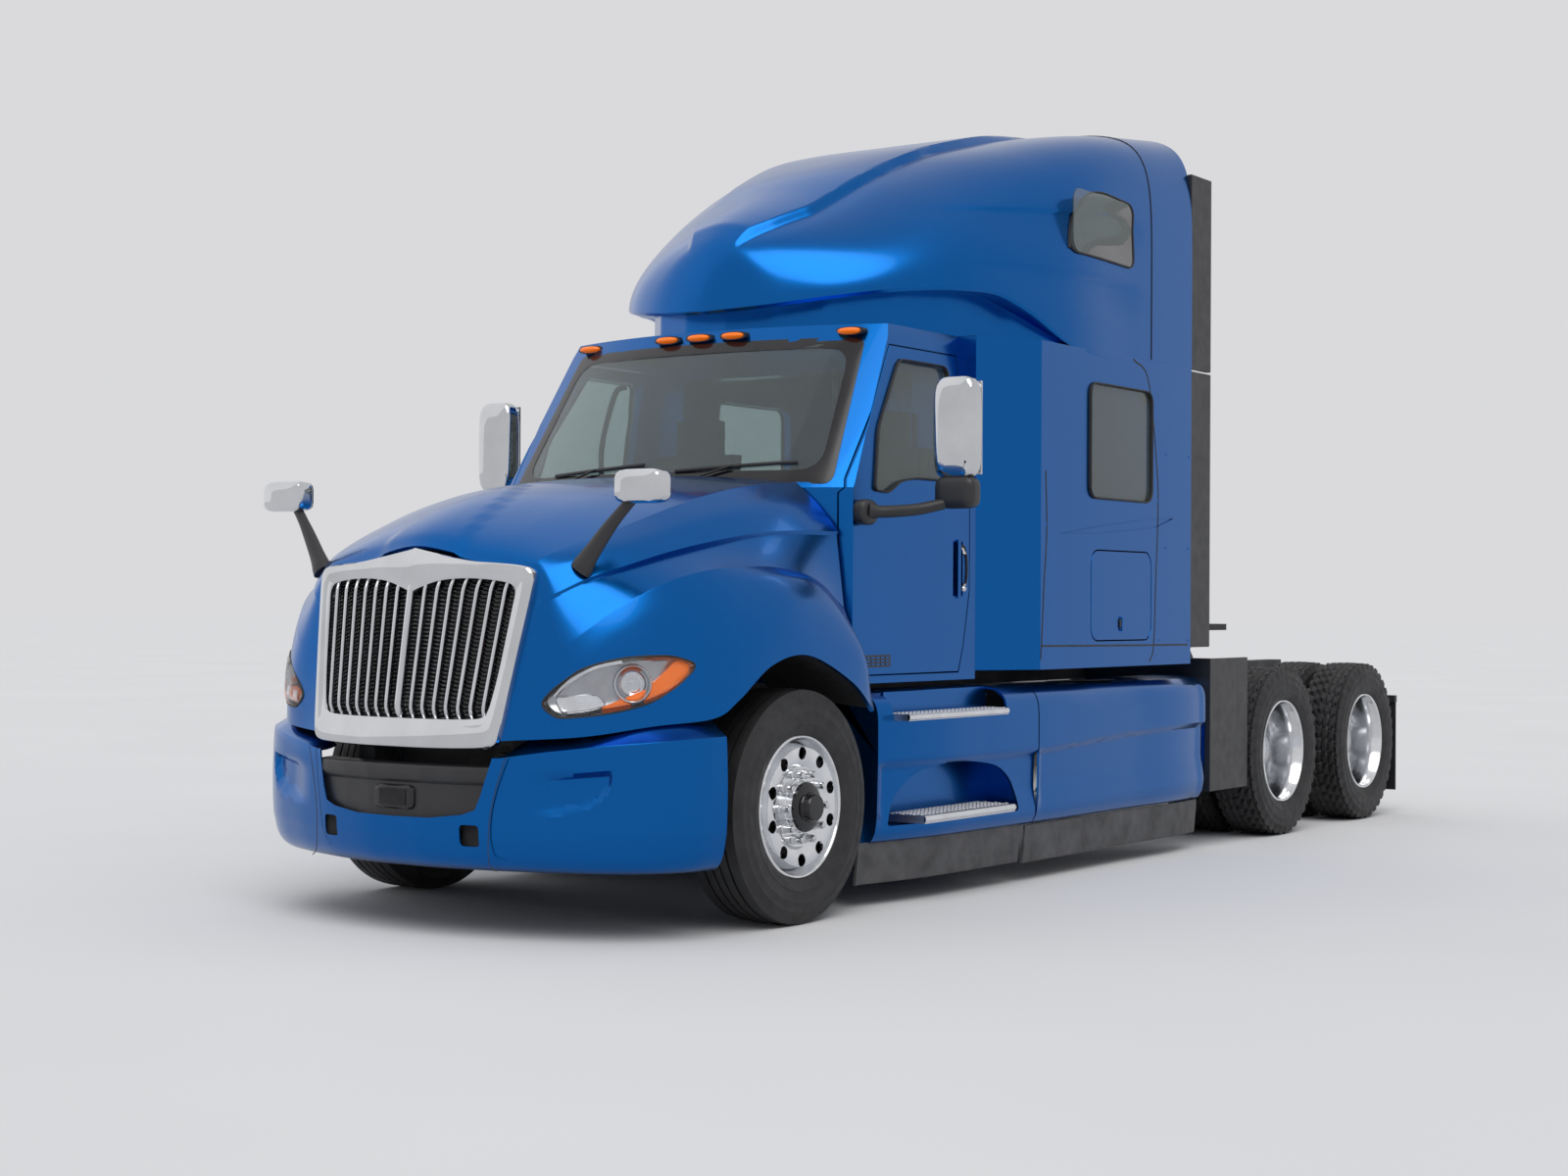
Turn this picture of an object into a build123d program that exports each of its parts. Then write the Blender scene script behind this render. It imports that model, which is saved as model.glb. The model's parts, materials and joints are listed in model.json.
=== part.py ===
from build123d import *
import os
from math import cos, pi, radians, sin, sqrt, tan

# Conventional highway tractor with a high-roof sleeper and tandem drive axles.
# Millimetres, +Z up, nose towards -Y, +X the driver's side. The origin lies on the ground under the middle of the
# overall length. Every fore-and-aft place is written from the front axle, whose y is front_axle_y.

os.makedirs("parts", exist_ok=True)

# ---------------------------------------------------------------- driving dimensions
wheelbase = 5000          # front axle to first drive axle
tandem_spacing = 1320     # between the drive axles
bumper_reach = 1275       # front axle to the bumper's nose
rear_reach = 600          # rear drive axle to the back of the mud flaps
front_axle_y = -(wheelbase + tandem_spacing + rear_reach - bumper_reach) / 2
drive_axle_ys = (front_axle_y + wheelbase, front_axle_y + wheelbase + tandem_spacing)
clearance = 0.3           # between curved faces that seat on each other
door_gap = 6              # shut line round doors, hatches and hood

# wheels and tyres
tyre_radius = 500
tyre_width = 279
hub_z = tyre_radius
bead_radius = 286
flange_radius = 300
rim_half_width = 118
flange_width = 13
barrel_radius = 263
front_wheel_x = 1032      # middle of the front tyre
drive_wheel_x = 1103      # middle of the outer drive tyre
dual_spacing = 330
hub_bore = 110
hand_hole_radius = 25
hand_hole_circle = 452
disc_thickness = 22

# steering
kingpin_x = 900
kingpin_radius = 24
running_fit = 0.05
steer_arm_back = 165      # kingpin to tie rod, straight back on both sides
tie_rod_z = 352
tie_rod_radius = 20
stud_radius = 14

# frame
rail_outer_x = 430
rail_flange = 89
rail_web = 9
rail_height = 267
rail_top = 1000
rail_front = front_axle_y - 1020
rail_back = drive_axle_ys[1] + 520

# cab and sleeper
wall = 60
floor_z = 1000
belt_z = 1880
cab_half = 1032           # half width at the belt
cab_top_half = 945        # half width at the drip rail
cab_back = front_axle_y + 1660
door_front = front_axle_y + 520
door_back = front_axle_y + 1600
door_bottom = 1040
sleeper_half = 1200
flare_end = front_axle_y + 2010
sleeper_back = front_axle_y + 3740
roof_seam_z = 2665
sleeper_floor = 1040
glass = 6
screen_y = front_axle_y + 340   # windshield foot on the centreline
screen_lean = (440, 690)        # windshield run back and rise
screen_bow = 0.000218           # y grows by this times x squared

# roof cap
roof_wall = 40


def across(y):
    """Plane across the truck at y: local x is X and local y is Z."""
    return Plane.XZ.offset(-y)


def along(x):
    """Plane along the truck at x: local x is Y and local y is Z."""
    return Plane.YZ.offset(x)


def hub_plane(x, y, side, z=hub_z):
    """Plane at a hub with local x pointing outboard."""
    return Plane(origin=(x, y, z), x_dir=(side, 0, 0), z_dir=(0, 0, 1))


def save(builder, label):
    builder.part.label = label
    export_step(builder.part, f"parts/{label}.step")
    print(label, len(builder.part.solids()), round(builder.part.volume / 1e6, 1), "litres")


# ---------------------------------------------------------------- tyres and wheels
def block(x, y, z, mode=Mode.ADD):
    """Box between the pairs of limits, added to the part being built."""
    with Locations(((x[0] + x[1]) / 2, (y[0] + y[1]) / 2, (z[0] + z[1]) / 2)):
        Box(abs(x[1] - x[0]), abs(y[1] - y[0]), abs(z[1] - z[0]), mode=mode)


def both(side, x):
    """Pair of x limits mirrored to one side."""
    return (side * x[0], side * x[1])


def outline(plane, *points):
    """Face on a plane from a closed chain of straight lines."""
    with BuildSketch(plane) as sketch:
        with BuildLine():
            Polyline(*points, points[0])
        make_face()
    return sketch.sketch


def tyre_section(plane):
    """Half section of a tyre seated between its rim flanges, in local x (across) and y (radius)."""
    bead = rim_half_width - flange_width - clearance
    low, high = bead_radius + clearance, flange_radius + clearance
    side, shoulder = tyre_width / 2, tyre_width / 2 - 22
    tread = tyre_width / 2 - 32
    with BuildSketch(plane) as sketch:
        with BuildLine():
            Polyline((-bead, high), (-bead, low), (bead, low), (bead, high))
            ThreePointArc((bead, high), (side, high + 95), (shoulder, tyre_radius - 26))
            Line((shoulder, tyre_radius - 26), (tread, tyre_radius - 6))
            ThreePointArc((tread, tyre_radius - 6), (0, tyre_radius), (-tread, tyre_radius - 6))
            Line((-tread, tyre_radius - 6), (-shoulder, tyre_radius - 26))
            ThreePointArc((-shoulder, tyre_radius - 26), (-side, high + 95), (-bead, high))
        make_face()
    return sketch.sketch


def rim_section(plane, face, rise, hub, rims=((0, 1),)):
    """Half section of a wheel: rims given as (shift, flip), each a barrel, two flanges and a disc, and one hub."""
    inner = rim_half_width - flange_width
    lip = face + rise * 0.85
    with BuildSketch(plane) as sketch:
        for shift, flip in rims:
            barrel = (
                (-rim_half_width, barrel_radius), (rim_half_width, barrel_radius),
                (rim_half_width, flange_radius), (inner, flange_radius), (inner, bead_radius),
                (-inner, bead_radius), (-inner, flange_radius), (-rim_half_width, flange_radius),
            )
            disc = (
                (face, hub_bore), (face, 172), (face + rise, 186), (face + rise, 196),
                (lip, barrel_radius + 1), (lip - disc_thickness, barrel_radius + 1),
                (face - disc_thickness + rise, 190), (face - disc_thickness, 178),
                (face - disc_thickness, hub_bore),
            )
            for points in (barrel, disc):
                moved = [(shift + flip * x, r) for x, r in points]
                with BuildLine():
                    Polyline(*moved, moved[0])
                make_face()
        with BuildLine():
            Polyline(*hub, hub[0])
        make_face()
    return sketch.sketch


def hand_holes(x, y, side):
    """Ring of hand holes seen along the axle."""
    with BuildSketch(Plane(origin=(x, y, hub_z), x_dir=(0, 1, 0), z_dir=(side, 0, 0))) as sketch:
        with PolarLocations(hand_hole_circle / 2, 10):
            Circle(hand_hole_radius)
    return sketch.sketch


front_disc_face = 88
for side, name in ((1, "left"), (-1, "right")):
    centre = side * front_wheel_x
    axis = Axis((centre, front_axle_y, hub_z), (1, 0, 0))
    with BuildPart() as front_tyre:
        add(tyre_section(hub_plane(centre, front_axle_y, side)))
        revolve(axis=axis)
    save(front_tyre, f"front_tyre_{name}")

    with BuildPart() as front_wheel:
        # hub with its oil cap, and the brake drum behind the disc
        hub = (
            (20, 50 + clearance), (front_disc_face + 30, 50 + clearance), (front_disc_face + 30, 0),
            (front_disc_face + 62, 0), (front_disc_face + 62, 52), (front_disc_face + 40, 92),
            (front_disc_face + 12, hub_bore + 8), (front_disc_face - disc_thickness - 12, hub_bore + 8),
            (front_disc_face - disc_thickness - 20, 165), (-58, 165), (-58, 149), (24, 149), (24, 100),
            (20, 80),
        )
        add(rim_section(hub_plane(centre, front_axle_y, side), front_disc_face, 14, hub))
        revolve(axis=axis)
        holes = hand_holes(centre, front_axle_y, side)
        extrude(to_extrude=holes, amount=rim_half_width, both=True, mode=Mode.SUBTRACT)
    save(front_wheel, f"front_wheel_{name}")

for side, name in ((1, "left"), (-1, "right")):
    for axle_y, place in zip(drive_axle_ys, ("fore", "aft")):
        outer = side * drive_wheel_x
        axis = Axis((outer, axle_y, hub_z), (1, 0, 0))
        with BuildPart() as drive_tyres:
            for inset in (0, dual_spacing):
                add(tyre_section(hub_plane(outer - side * inset, axle_y, side)))
            revolve(axis=axis)
        save(drive_tyres, f"drive_tyres_{place}_{name}")

        mount_face = -dual_spacing / 2      # where the two discs meet, from the outer rim's middle
        with BuildPart() as drive_wheel:
            # hub barrel, axle flange and drum
            hub = (
                (mount_face - 170, 76), (mount_face + 60, 76), (mount_face + 60, 0), (mount_face + 118, 0),
                (mount_face + 118, 78), (mount_face + 84, 92), (mount_face + 34, hub_bore + 8),
                (mount_face - 34, hub_bore + 8), (mount_face - 60, 165), (mount_face - 240, 165),
                (mount_face - 240, 149), (mount_face - 76, 149), (mount_face - 76, 96),
                (mount_face - 170, 96),
            )
            rims = ((0, 1), (-dual_spacing, -1))
            add(rim_section(hub_plane(outer, axle_y, side), mount_face + disc_thickness, 60, hub, rims))
            revolve(axis=axis)
            holes = hand_holes(outer + side * mount_face, axle_y, side)
            extrude(to_extrude=holes, amount=100, both=True, mode=Mode.SUBTRACT)
        save(drive_wheel, f"drive_wheel_{place}_{name}")

# ---------------------------------------------------------------- knuckles, front axle, tie rod
knuckle_z = (hub_z - 118, hub_z + 118)
yoke = 32
eye_z = (knuckle_z[0] + yoke + 1, knuckle_z[1] - yoke - 1)
arm_top = knuckle_z[0] + yoke
for side, name in ((1, "left"), (-1, "right")):
    kp = side * kingpin_x
    with BuildPart() as knuckle:
        # forked yoke, open inboard
        with BuildSketch(Plane.XY.offset(knuckle_z[0])):
            with Locations((kp, front_axle_y)):
                Circle(48)
            with Locations((kp + side * 32, front_axle_y)):
                Rectangle(64, 96)
        extrude(amount=knuckle_z[1] - knuckle_z[0])
        with BuildSketch(Plane.XY.offset(eye_z[0] - 1)):
            with Locations((kp - side * 20, front_axle_y)):
                Rectangle(146, 130)
        extrude(amount=eye_z[1] - eye_z[0] + 2, mode=Mode.SUBTRACT)
        with BuildSketch(Plane.XY.offset(knuckle_z[0])):
            with Locations((kp, front_axle_y)):
                Circle(kingpin_radius)
        extrude(amount=knuckle_z[1] - knuckle_z[0])
        # web and spindle
        with BuildSketch(Plane(origin=(kp + side * 58, front_axle_y, hub_z), x_dir=(0, 1, 0),
            z_dir=(side, 0, 0))):
            Rectangle(96, knuckle_z[1] - knuckle_z[0])
        extrude(amount=14)
        with BuildSketch(Plane(origin=(kp + side * 64, front_axle_y, hub_z), x_dir=(0, 1, 0),
            z_dir=(side, 0, 0))):
            Circle(50)
        extrude(amount=front_wheel_x - kingpin_x - 64 + front_disc_face + 20)
        # steering arm to the tie rod
        with BuildSketch(Plane.XY.offset(knuckle_z[0])):
            with BuildLine():
                Polyline(
                    (kp - side * 26, front_axle_y + 20), (kp + side * 30, front_axle_y + 20),
                    (kp + side * 20, front_axle_y + steer_arm_back),
                    (kp - side * 20, front_axle_y + steer_arm_back),
                    (kp - side * 26, front_axle_y + 20),
                )
            make_face()
            with Locations((kp, front_axle_y + steer_arm_back)):
                Circle(24)
        extrude(amount=yoke)
        with BuildSketch(Plane.XY.offset(knuckle_z[0] - 1)):
            with Locations((kp, front_axle_y + steer_arm_back)):
                Circle(stud_radius + running_fit)
        extrude(amount=yoke + 2, mode=Mode.SUBTRACT)
    save(knuckle, f"knuckle_{name}")

beam_half = 55
beam_top = 445
with BuildPart() as front_axle:
    with BuildSketch(across(front_axle_y - beam_half)):
        with BuildLine():
            Polyline(
                (-kingpin_x + 20, eye_z[1] - 30), (-kingpin_x + 20, eye_z[0] + 10), (-640, eye_z[0]),
                (-520, 335),
                (520, 335), (640, eye_z[0]), (kingpin_x - 20, eye_z[0] + 10), (kingpin_x - 20, eye_z[1] - 30),
                (680, eye_z[1] - 40), (520, beam_top), (-520, beam_top), (-680, eye_z[1] - 40),
                (-kingpin_x + 20, eye_z[1] - 30),
            )
        make_face()
    extrude(amount=-2 * beam_half)
    with BuildSketch(Plane.XY.offset(eye_z[0])):
        for side in (1, -1):
            with Locations((side * kingpin_x, front_axle_y)):
                Circle(44)
    extrude(amount=eye_z[1] - eye_z[0])
    # the beam's ends are trimmed to the eyes, and the eyes bored
    for side in (1, -1):
        with BuildSketch(Plane.XY.offset(eye_z[0] - 1)):
            with Locations((side * (kingpin_x + 32), front_axle_y)):
                Rectangle(64, 200)
            with Locations((side * kingpin_x, front_axle_y)):
                Circle(44, mode=Mode.SUBTRACT)
        extrude(amount=eye_z[1] - eye_z[0] + 2, mode=Mode.SUBTRACT)
        with BuildSketch(Plane.XY.offset(eye_z[0] - 1)):
            with Locations((side * kingpin_x, front_axle_y)):
                Circle(kingpin_radius + running_fit)
        extrude(amount=eye_z[1] - eye_z[0] + 2, mode=Mode.SUBTRACT)
save(front_axle, "front_axle")

rod_y = front_axle_y + steer_arm_back
with BuildPart() as tie_rod:
    with BuildSketch(Plane(origin=(-kingpin_x, rod_y, tie_rod_z), x_dir=(0, 1, 0), z_dir=(1, 0, 0))):
        Circle(tie_rod_radius)
    extrude(amount=2 * kingpin_x)
    with BuildSketch(Plane.XY.offset(tie_rod_z - tie_rod_radius - 4)):
        with Locations((kingpin_x, rod_y), (-kingpin_x, rod_y)):
            Circle(22)
    extrude(amount=knuckle_z[0] - clearance - (tie_rod_z - tie_rod_radius - 4))
    with BuildSketch(Plane.XY.offset(tie_rod_z)):
        with Locations((kingpin_x, rod_y), (-kingpin_x, rod_y)):
            Circle(stud_radius)
    extrude(amount=arm_top + 12 - tie_rod_z)
save(tie_rod, "tie_rod")

# ---------------------------------------------------------------- frame
rail_bottom = rail_top - rail_height
rail_inner_x = rail_outer_x - rail_flange
tow_x = (rail_outer_x + rail_inner_x) / 2
tow_z = 424
tow_bore = 20
tow_seam = 30              # from a tow hole's middle to the seams beside it
cross_ys = [rail_front + 40] + [front_axle_y + d for d in (1750, 2900, 4080, 4560, 5660, 6700)]
with BuildPart() as frame:
    for side in (1, -1):
        with BuildSketch(across(rail_front)):
            with BuildLine():
                Polyline(
                    (side * rail_outer_x, rail_bottom), (side * rail_outer_x, rail_top),
                    (side * rail_inner_x, rail_top), (side * rail_inner_x, rail_top - rail_web),
                    (side * (rail_outer_x - rail_web), rail_top - rail_web),
                    (side * (rail_outer_x - rail_web), rail_bottom + rail_web),
                    (side * rail_inner_x, rail_bottom + rail_web), (side * rail_inner_x, rail_bottom),
                    (side * rail_outer_x, rail_bottom),
                )
            make_face()
        extrude(amount=-(rail_back - rail_front))
        # tow bracket under the rail's nose, with its socket
        with BuildSketch(across(rail_front)):
            with Locations((side * tow_x, (rail_bottom + tow_z - 45) / 2)):
                Rectangle(rail_flange, rail_bottom - tow_z + 45)
            with Locations((side * tow_x, tow_z)):
                Circle(tow_bore, mode=Mode.SUBTRACT)
        extrude(amount=-70)
    for y in cross_ys:
        with BuildSketch(across(y - 30)):
            with Locations((0, rail_top - rail_height / 2)):
                Rectangle(2 * (rail_outer_x - rail_web), rail_height - 2 * rail_web - 60)
        extrude(amount=-60)
    block((-rail_inner_x, rail_inner_x), (rail_back - 12, rail_back), (760, 980))
save(frame, "frame")

# ---------------------------------------------------------------- suspension and drive axles
fa = front_axle_y
spring_x = 410
with BuildPart() as suspension:
    for side in (1, -1):
        extrude(to_extrude=outline(
            along(side * spring_x - 38), (fa - 760, 640), (fa - 700, 640), (fa - 360, 520), (fa - 70, 492),
            (fa - 70, 520), (fa + 70, 520), (fa + 70, 492), (fa + 360, 520), (fa + 700, 640), (fa + 760, 640),
            (fa + 700, 590), (fa + 360, 480), (fa + 70, beam_top), (fa - 70, beam_top), (fa - 360, 480),
            (fa - 700, 590),
        ), amount=76)
        for y in (fa - 730, fa + 730):
            block(both(side, (spring_x - 30, spring_x + 30)), (y - 34, y + 34),
                (620, rail_bottom - clearance))
    for side in (1, -1):
        for axle_y in drive_axle_ys:
            # hanger, trailing arm under the tube, and the air spring behind it
            block(both(side, (spring_x - 40, spring_x + 20)), (axle_y - 560, axle_y - 470),
                (400, rail_bottom - clearance))
            block(both(side, (spring_x - 40, spring_x + 40)), (axle_y - 540, axle_y + 330), (370, 422))
            with Locations((side * spring_x, axle_y + 270, (422 + rail_bottom - clearance) / 2)):
                Cylinder(radius=118, height=rail_bottom - clearance - 422)
save(suspension, "suspension")

drive_spindle = 76
with BuildPart() as drive_axles:
    for axle_y in drive_axle_ys:
        end = drive_wheel_x - dual_spacing / 2 + 40
        with BuildSketch(Plane(origin=(-end, axle_y, hub_z), x_dir=(0, 1, 0), z_dir=(1, 0, 0))):
            Circle(drive_spindle - 2)
        extrude(amount=2 * end)
        with Locations((0, axle_y, hub_z)):
            Cylinder(radius=205, height=230, rotation=(90, 0, 0))
    # nose boxes of the two differentials and the shaft between them
    block((-85, 85), (drive_axle_ys[0] - 330, drive_axle_ys[0]), (hub_z - 60, hub_z + 150))
    block((-85, 85), (drive_axle_ys[1] - 260, drive_axle_ys[1]), (hub_z - 60, hub_z + 110))
    with BuildSketch(across(drive_axle_ys[0])):
        with Locations((0, hub_z + 40)):
            Circle(48)
    extrude(amount=-tandem_spacing)
save(drive_axles, "drive_axles")

# ---------------------------------------------------------------- engine, radiator, gearbox, propeller shaft
with BuildPart() as powertrain:
    block((-320, 320), (fa - 560, fa + 330), (650, 1560))
    block((-250, 250), (fa + 300, fa + 1500), (660, 965))
    block((-325, 325), (fa - 860, fa - 780), (660, 1430))
    block((-410, 410), (fa - 860, fa - 780), (1020, 1430))
    block((-60, 60), (fa - 790, fa - 540), (900, 1020))
    shaft_end = drive_axle_ys[0] - 330
    extrude(to_extrude=outline(
        along(-45), (fa + 1480, 670), (fa + 1480, 760), (shaft_end - clearance, 590),
        (shaft_end - clearance, 500),
    ), amount=90)
save(powertrain, "powertrain")

# ---------------------------------------------------------------- tanks, fairings, steps
tank_radius = 300
tank_x = 850
tank_z = 600
tank_span = (fa + 2150, fa + 3720)
with BuildPart() as fuel_tanks:
    for side in (1, -1):
        with Locations((side * tank_x, (tank_span[0] + tank_span[1]) / 2, tank_z)):
            Cylinder(radius=tank_radius, height=tank_span[1] - tank_span[0], rotation=(90, 0, 0))
        for y in (tank_span[0] + 260, tank_span[1] - 260):
            block(both(side, (rail_outer_x + clearance, tank_x - 200)), (y - 40, y + 40), (rail_bottom, 900))
save(fuel_tanks, "fuel_tanks")

panel = 24
fairing_z = (270, 968)
fairing_split = fa + 1960
fairing_end = fa + 3960
fairing_plan = ((1120, fa + 620), (1195, fa + 1050), (1222, fa + 1960), (1222, fa + 3880), (1190, fa + 3960))


def fairing(y0, y1, z0, z1, thickness=panel):
    """One side panel of the chassis, bent over at its top into a deck."""
    side_points = [p for p in fairing_plan if y0 < p[1] < y1]
    first, last = plan_x(y0), plan_x(y1)
    face = [(first, y0)] + side_points + [(last, y1)]
    back = [(x - thickness, y) for x, y in reversed(face)]
    with BuildPart() as body:
        for side in (1, -1):
            extrude(to_extrude=outline(Plane.XY.offset(z0), *[(side * x, y) for x, y in face + back]),
                amount=z1 - z0)
    return body.part


def plan_x(y):
    """Outer face of the fairings at y."""
    for (xa, ya), (xb, yb) in zip(fairing_plan, fairing_plan[1:]):
        if ya <= y <= yb:
            return xa + (xb - xa) * (y - ya) / (yb - ya)
    return fairing_plan[-1][0]


deck_in = 640
tread_z = ((367, 403), (828, 862))
step_span = (fa + 860, fa + 1700)
top_step_span = (fa + 740, fa + 1650)
with BuildPart() as chassis_fairings:
    add(fairing(fa + 620, fairing_split - door_gap / 2, fairing_z[0], fairing_z[1] - 40))
    for side in (1, -1):
        # deck, front return and the lower foot well
        block(both(side, (deck_in, 1100)), (fa + 640, fairing_split - door_gap / 2),
            (tread_z[1][0], tread_z[1][1]))
        block(both(side, (deck_in, 1100)), (fa + 640, fa + 664), (fairing_z[0], tread_z[1][1]))
        block(both(side, (1100, 1300)), top_step_span, (tread_z[1][0], 1000), mode=Mode.SUBTRACT)
        block(both(side, (1000, 1300)), step_span, (tread_z[0][0], 640), mode=Mode.SUBTRACT)
        foot = (step_span[0] - 20, step_span[1] + 20)
        block(both(side, (1020, 1180)), foot, (tread_z[0][0] - 24, tread_z[0][0]))
        block(both(side, (1000, 1024)), foot, (tread_z[0][0] - 24, 664))
        block(both(side, (1020, 1160)), foot, (640, 664))
        block(both(side, (rail_outer_x + clearance, deck_in + 20)), (fa + 1000, fa + 1060), (780, 850))
        block(both(side, (rail_outer_x + clearance, deck_in + 20)), (fa + 1700, fa + 1760), (780, 850))
    for side in (1, -1):
        block(both(side, (deck_in, 1210)), (fairing_split + door_gap / 2, fairing_end),
            (fairing_z[1] - panel, fairing_z[1]))
        block(both(side, (deck_in, 1180)), (fairing_end - panel, fairing_end), (fairing_z[0], fairing_z[1]))
        block(both(side, (rail_outer_x + clearance, deck_in + 20)), (fa + 2060, fa + 2110), (900, 960))
        block(both(side, (rail_outer_x + clearance, deck_in + 20)), (fa + 3780, fa + 3830), (900, 960))
save(chassis_fairings, "chassis_fairings")

with BuildPart() as step_treads:
    for side in (1, -1):
        block(both(side, (1024 + clearance, 1240)), (step_span[0] + clearance, step_span[1] - clearance),
              (tread_z[0][0] + clearance, tread_z[0][1]))
        block(both(side, (1100 + clearance, 1218)),
            (top_step_span[0] + clearance, top_step_span[1] - clearance),
              (tread_z[1][0] + clearance, tread_z[1][1]))
save(step_treads, "step_treads")

skirt_bottom = 115
with BuildPart() as skirts:
    add(fairing(fa + 1380, fairing_end - 20, skirt_bottom, fairing_z[0] - clearance, thickness=14))
save(skirts, "skirts")

with BuildPart() as mudguards:
    for side in (1, -1):
        block(both(side, (1060, 1216)), (fairing_end + 8, fairing_end + 30), (320, 1065))
        block(both(side, (1192, 1216)), (fairing_end + 8, drive_axle_ys[0] - 520), (320, 1065))
        block(both(side, (rail_outer_x + clearance, 1216)), (fairing_end + 8, fairing_end + 60), (905, 1065))
        # crossbar, flap and bracket behind the rear wheels
        block(both(side, (rail_outer_x + clearance, 1216)), (drive_axle_ys[1] + 560, drive_axle_ys[1] + 596),
            (730, 775))
        block(both(side, (800, 1216)), (drive_axle_ys[1] + 572, drive_axle_ys[1] + 582), (150, 740))
        block(both(side, (rail_outer_x + clearance, 520)), (drive_axle_ys[1] + 470, drive_axle_ys[1] + 600),
            (740, 960))
save(mudguards, "mudguards")

with BuildPart() as tail_lamps:
    for side in (1, -1):
        block(both(side, (150, 330)), (rail_back + clearance, rail_back + 42), (810, 950))
save(tail_lamps, "tail_lamps")

# ---------------------------------------------------------------- fifth wheel
fifth_y = fa + 5420
fifth_pivot_z = 1130
plate_top = 1245
king_slot = 27
with BuildPart() as fifth_wheel_mount:
    block((-430, 430), (fifth_y - 420, fifth_y + 420), (rail_top + clearance, rail_top + 22))
    for side in (1, -1):
        extrude(to_extrude=outline(
            along(side * 330 - 25), (fifth_y - 200, rail_top + 10), (fifth_y - 60, fifth_pivot_z + 34),
            (fifth_y + 60, fifth_pivot_z + 34), (fifth_y + 200, rail_top + 10),
        ), amount=50)
    for side in (1, -1):
        with BuildSketch(along(side * 330 - 30)):
            with Locations((fifth_y, fifth_pivot_z)):
                Circle(22 + running_fit)
        extrude(amount=60, mode=Mode.SUBTRACT)
save(fifth_wheel_mount, "fifth_wheel_mount")

with BuildPart() as fifth_wheel:
    with BuildSketch(Plane.XY.offset(plate_top - 40)):
        with Locations((0, fifth_y)):
            Circle(450)
        with Locations((0, fifth_y + 240)):
            Rectangle(900, 480)
        with Locations((0, fifth_y + 380)):
            Rectangle(2 * king_slot, 760, mode=Mode.SUBTRACT)
        with Locations((0, fifth_y + 460)):
            Circle(150, mode=Mode.SUBTRACT)
    extrude(amount=40)
    for side in (1, -1):
        for x in (272, 388):
            block(both(side, (x - 16, x + 16)), (fifth_y - 45, fifth_y + 45),
                (fifth_pivot_z - 34, plate_top - 20))
        with BuildSketch(Plane(origin=(side * 330 - 74, fifth_y, fifth_pivot_z), x_dir=(0, 1, 0),
            z_dir=(1, 0, 0))):
            Circle(22)
        extrude(amount=148)
save(fifth_wheel, "fifth_wheel")

# ---------------------------------------------------------------- cab
def screen_arc(y, half, steps=None):
    """Plan bow of the windshield and cowl, from one side to the other."""
    return ((-half, y + screen_bow * half**2), (0, y), (half, y + screen_bow * half**2))


def cab_body(inset):
    """Solid cab envelope, every face moved in by inset."""
    half, top_half = cab_half - inset, cab_top_half - inset
    low, high = floor_z + inset, roof_seam_z - clearance - inset
    back = cab_back - inset if inset else cab_back
    y = screen_y + inset * 1.2
    with BuildPart() as body:
        with BuildSketch(Plane.XY.offset(belt_z)) as plan:
            with BuildLine():
                ThreePointArc(*screen_arc(y, half))
                Polyline(
                    (half, y + screen_bow * half**2), (half, back + 600), (-half, back + 600),
                    (-half, y + screen_bow * half**2),
                )
            make_face()
        extrude(amount=(high - belt_z) * sqrt(1 + (screen_lean[0] / screen_lean[1])**2),
            dir=(0, *screen_lean))
        extrude(to_extrude=plan.sketch, amount=low - belt_z)
        block((-2000, 2000), (back, back + 2000), (0, 4000), mode=Mode.SUBTRACT)
        # narrower ahead of the doors, where the hood laps the cowl
        for side in (1, -1):
            block(both(side, (900 - inset, 2000)), (fa, door_front - door_gap + inset), (0, belt_z),
                mode=Mode.SUBTRACT)
        extrude(to_extrude=outline(
            across(fa - 200), (-half, low), (-half, belt_z + 20), (-top_half, 2600 - inset),
            (-top_half + 20, high),
            (top_half - 20, high), (top_half, 2600 - inset), (half, belt_z + 20), (half, low),
        ), amount=-4000, mode=Mode.INTERSECT)
    return body.part


def prism_x(side, points, depth=420):
    """Side outline in (y, z) carried across one flank of the truck."""
    with BuildPart() as body:
        extrude(to_extrude=outline(along(side * 876), *points), amount=side * depth)
    return body.part


def rounded_x(side, y, z, radius, grow=0, depth=420):
    """Rounded rectangle in (y, z) carried across one flank."""
    with BuildPart() as body:
        with BuildSketch(along(side * 800)):
            with Locations(((y[0] + y[1]) / 2, (z[0] + z[1]) / 2)):
                RectangleRounded(y[1] - y[0] + 2 * grow, z[1] - z[0] + 2 * grow, radius + grow)
        extrude(amount=side * depth)
    return body.part


def door_points(grow):
    """Door edge: upright at the front, leaning at the rear foot."""
    return (
        (door_front - grow, door_bottom - grow), (door_back - 100 + grow, door_bottom - grow),
        (door_back - 55 + grow, 1165), (door_back + grow, 1420), (door_back + grow, 2560 + grow),
        (door_front + 480 - grow, 2560 + grow), (door_front + 60 - grow, 1920), (door_front - grow, 1800),
    )


def door_prism(side, grow):
    """Door outline carried across the flank, less the post behind its front edge, which stays with the cab."""
    with BuildPart() as body:
        add(prism_x(side, door_points(grow)))
        post = (door_front - 2 * door_gap, door_front + wall + door_gap)
        block(both(side, (800, cab_half - wall - grow)), post, (floor_z, belt_z), mode=Mode.SUBTRACT)
    return body.part


window_points = (
    (door_front + 218, 1872), (door_front + 340, 1866), (door_front + 450, 1925), (door_front + 600, 1946),
    (door_back - 105, 1946), (door_back - 105, 2500), (door_front + 540, 2500), (door_front + 300, 2160),
)


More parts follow.
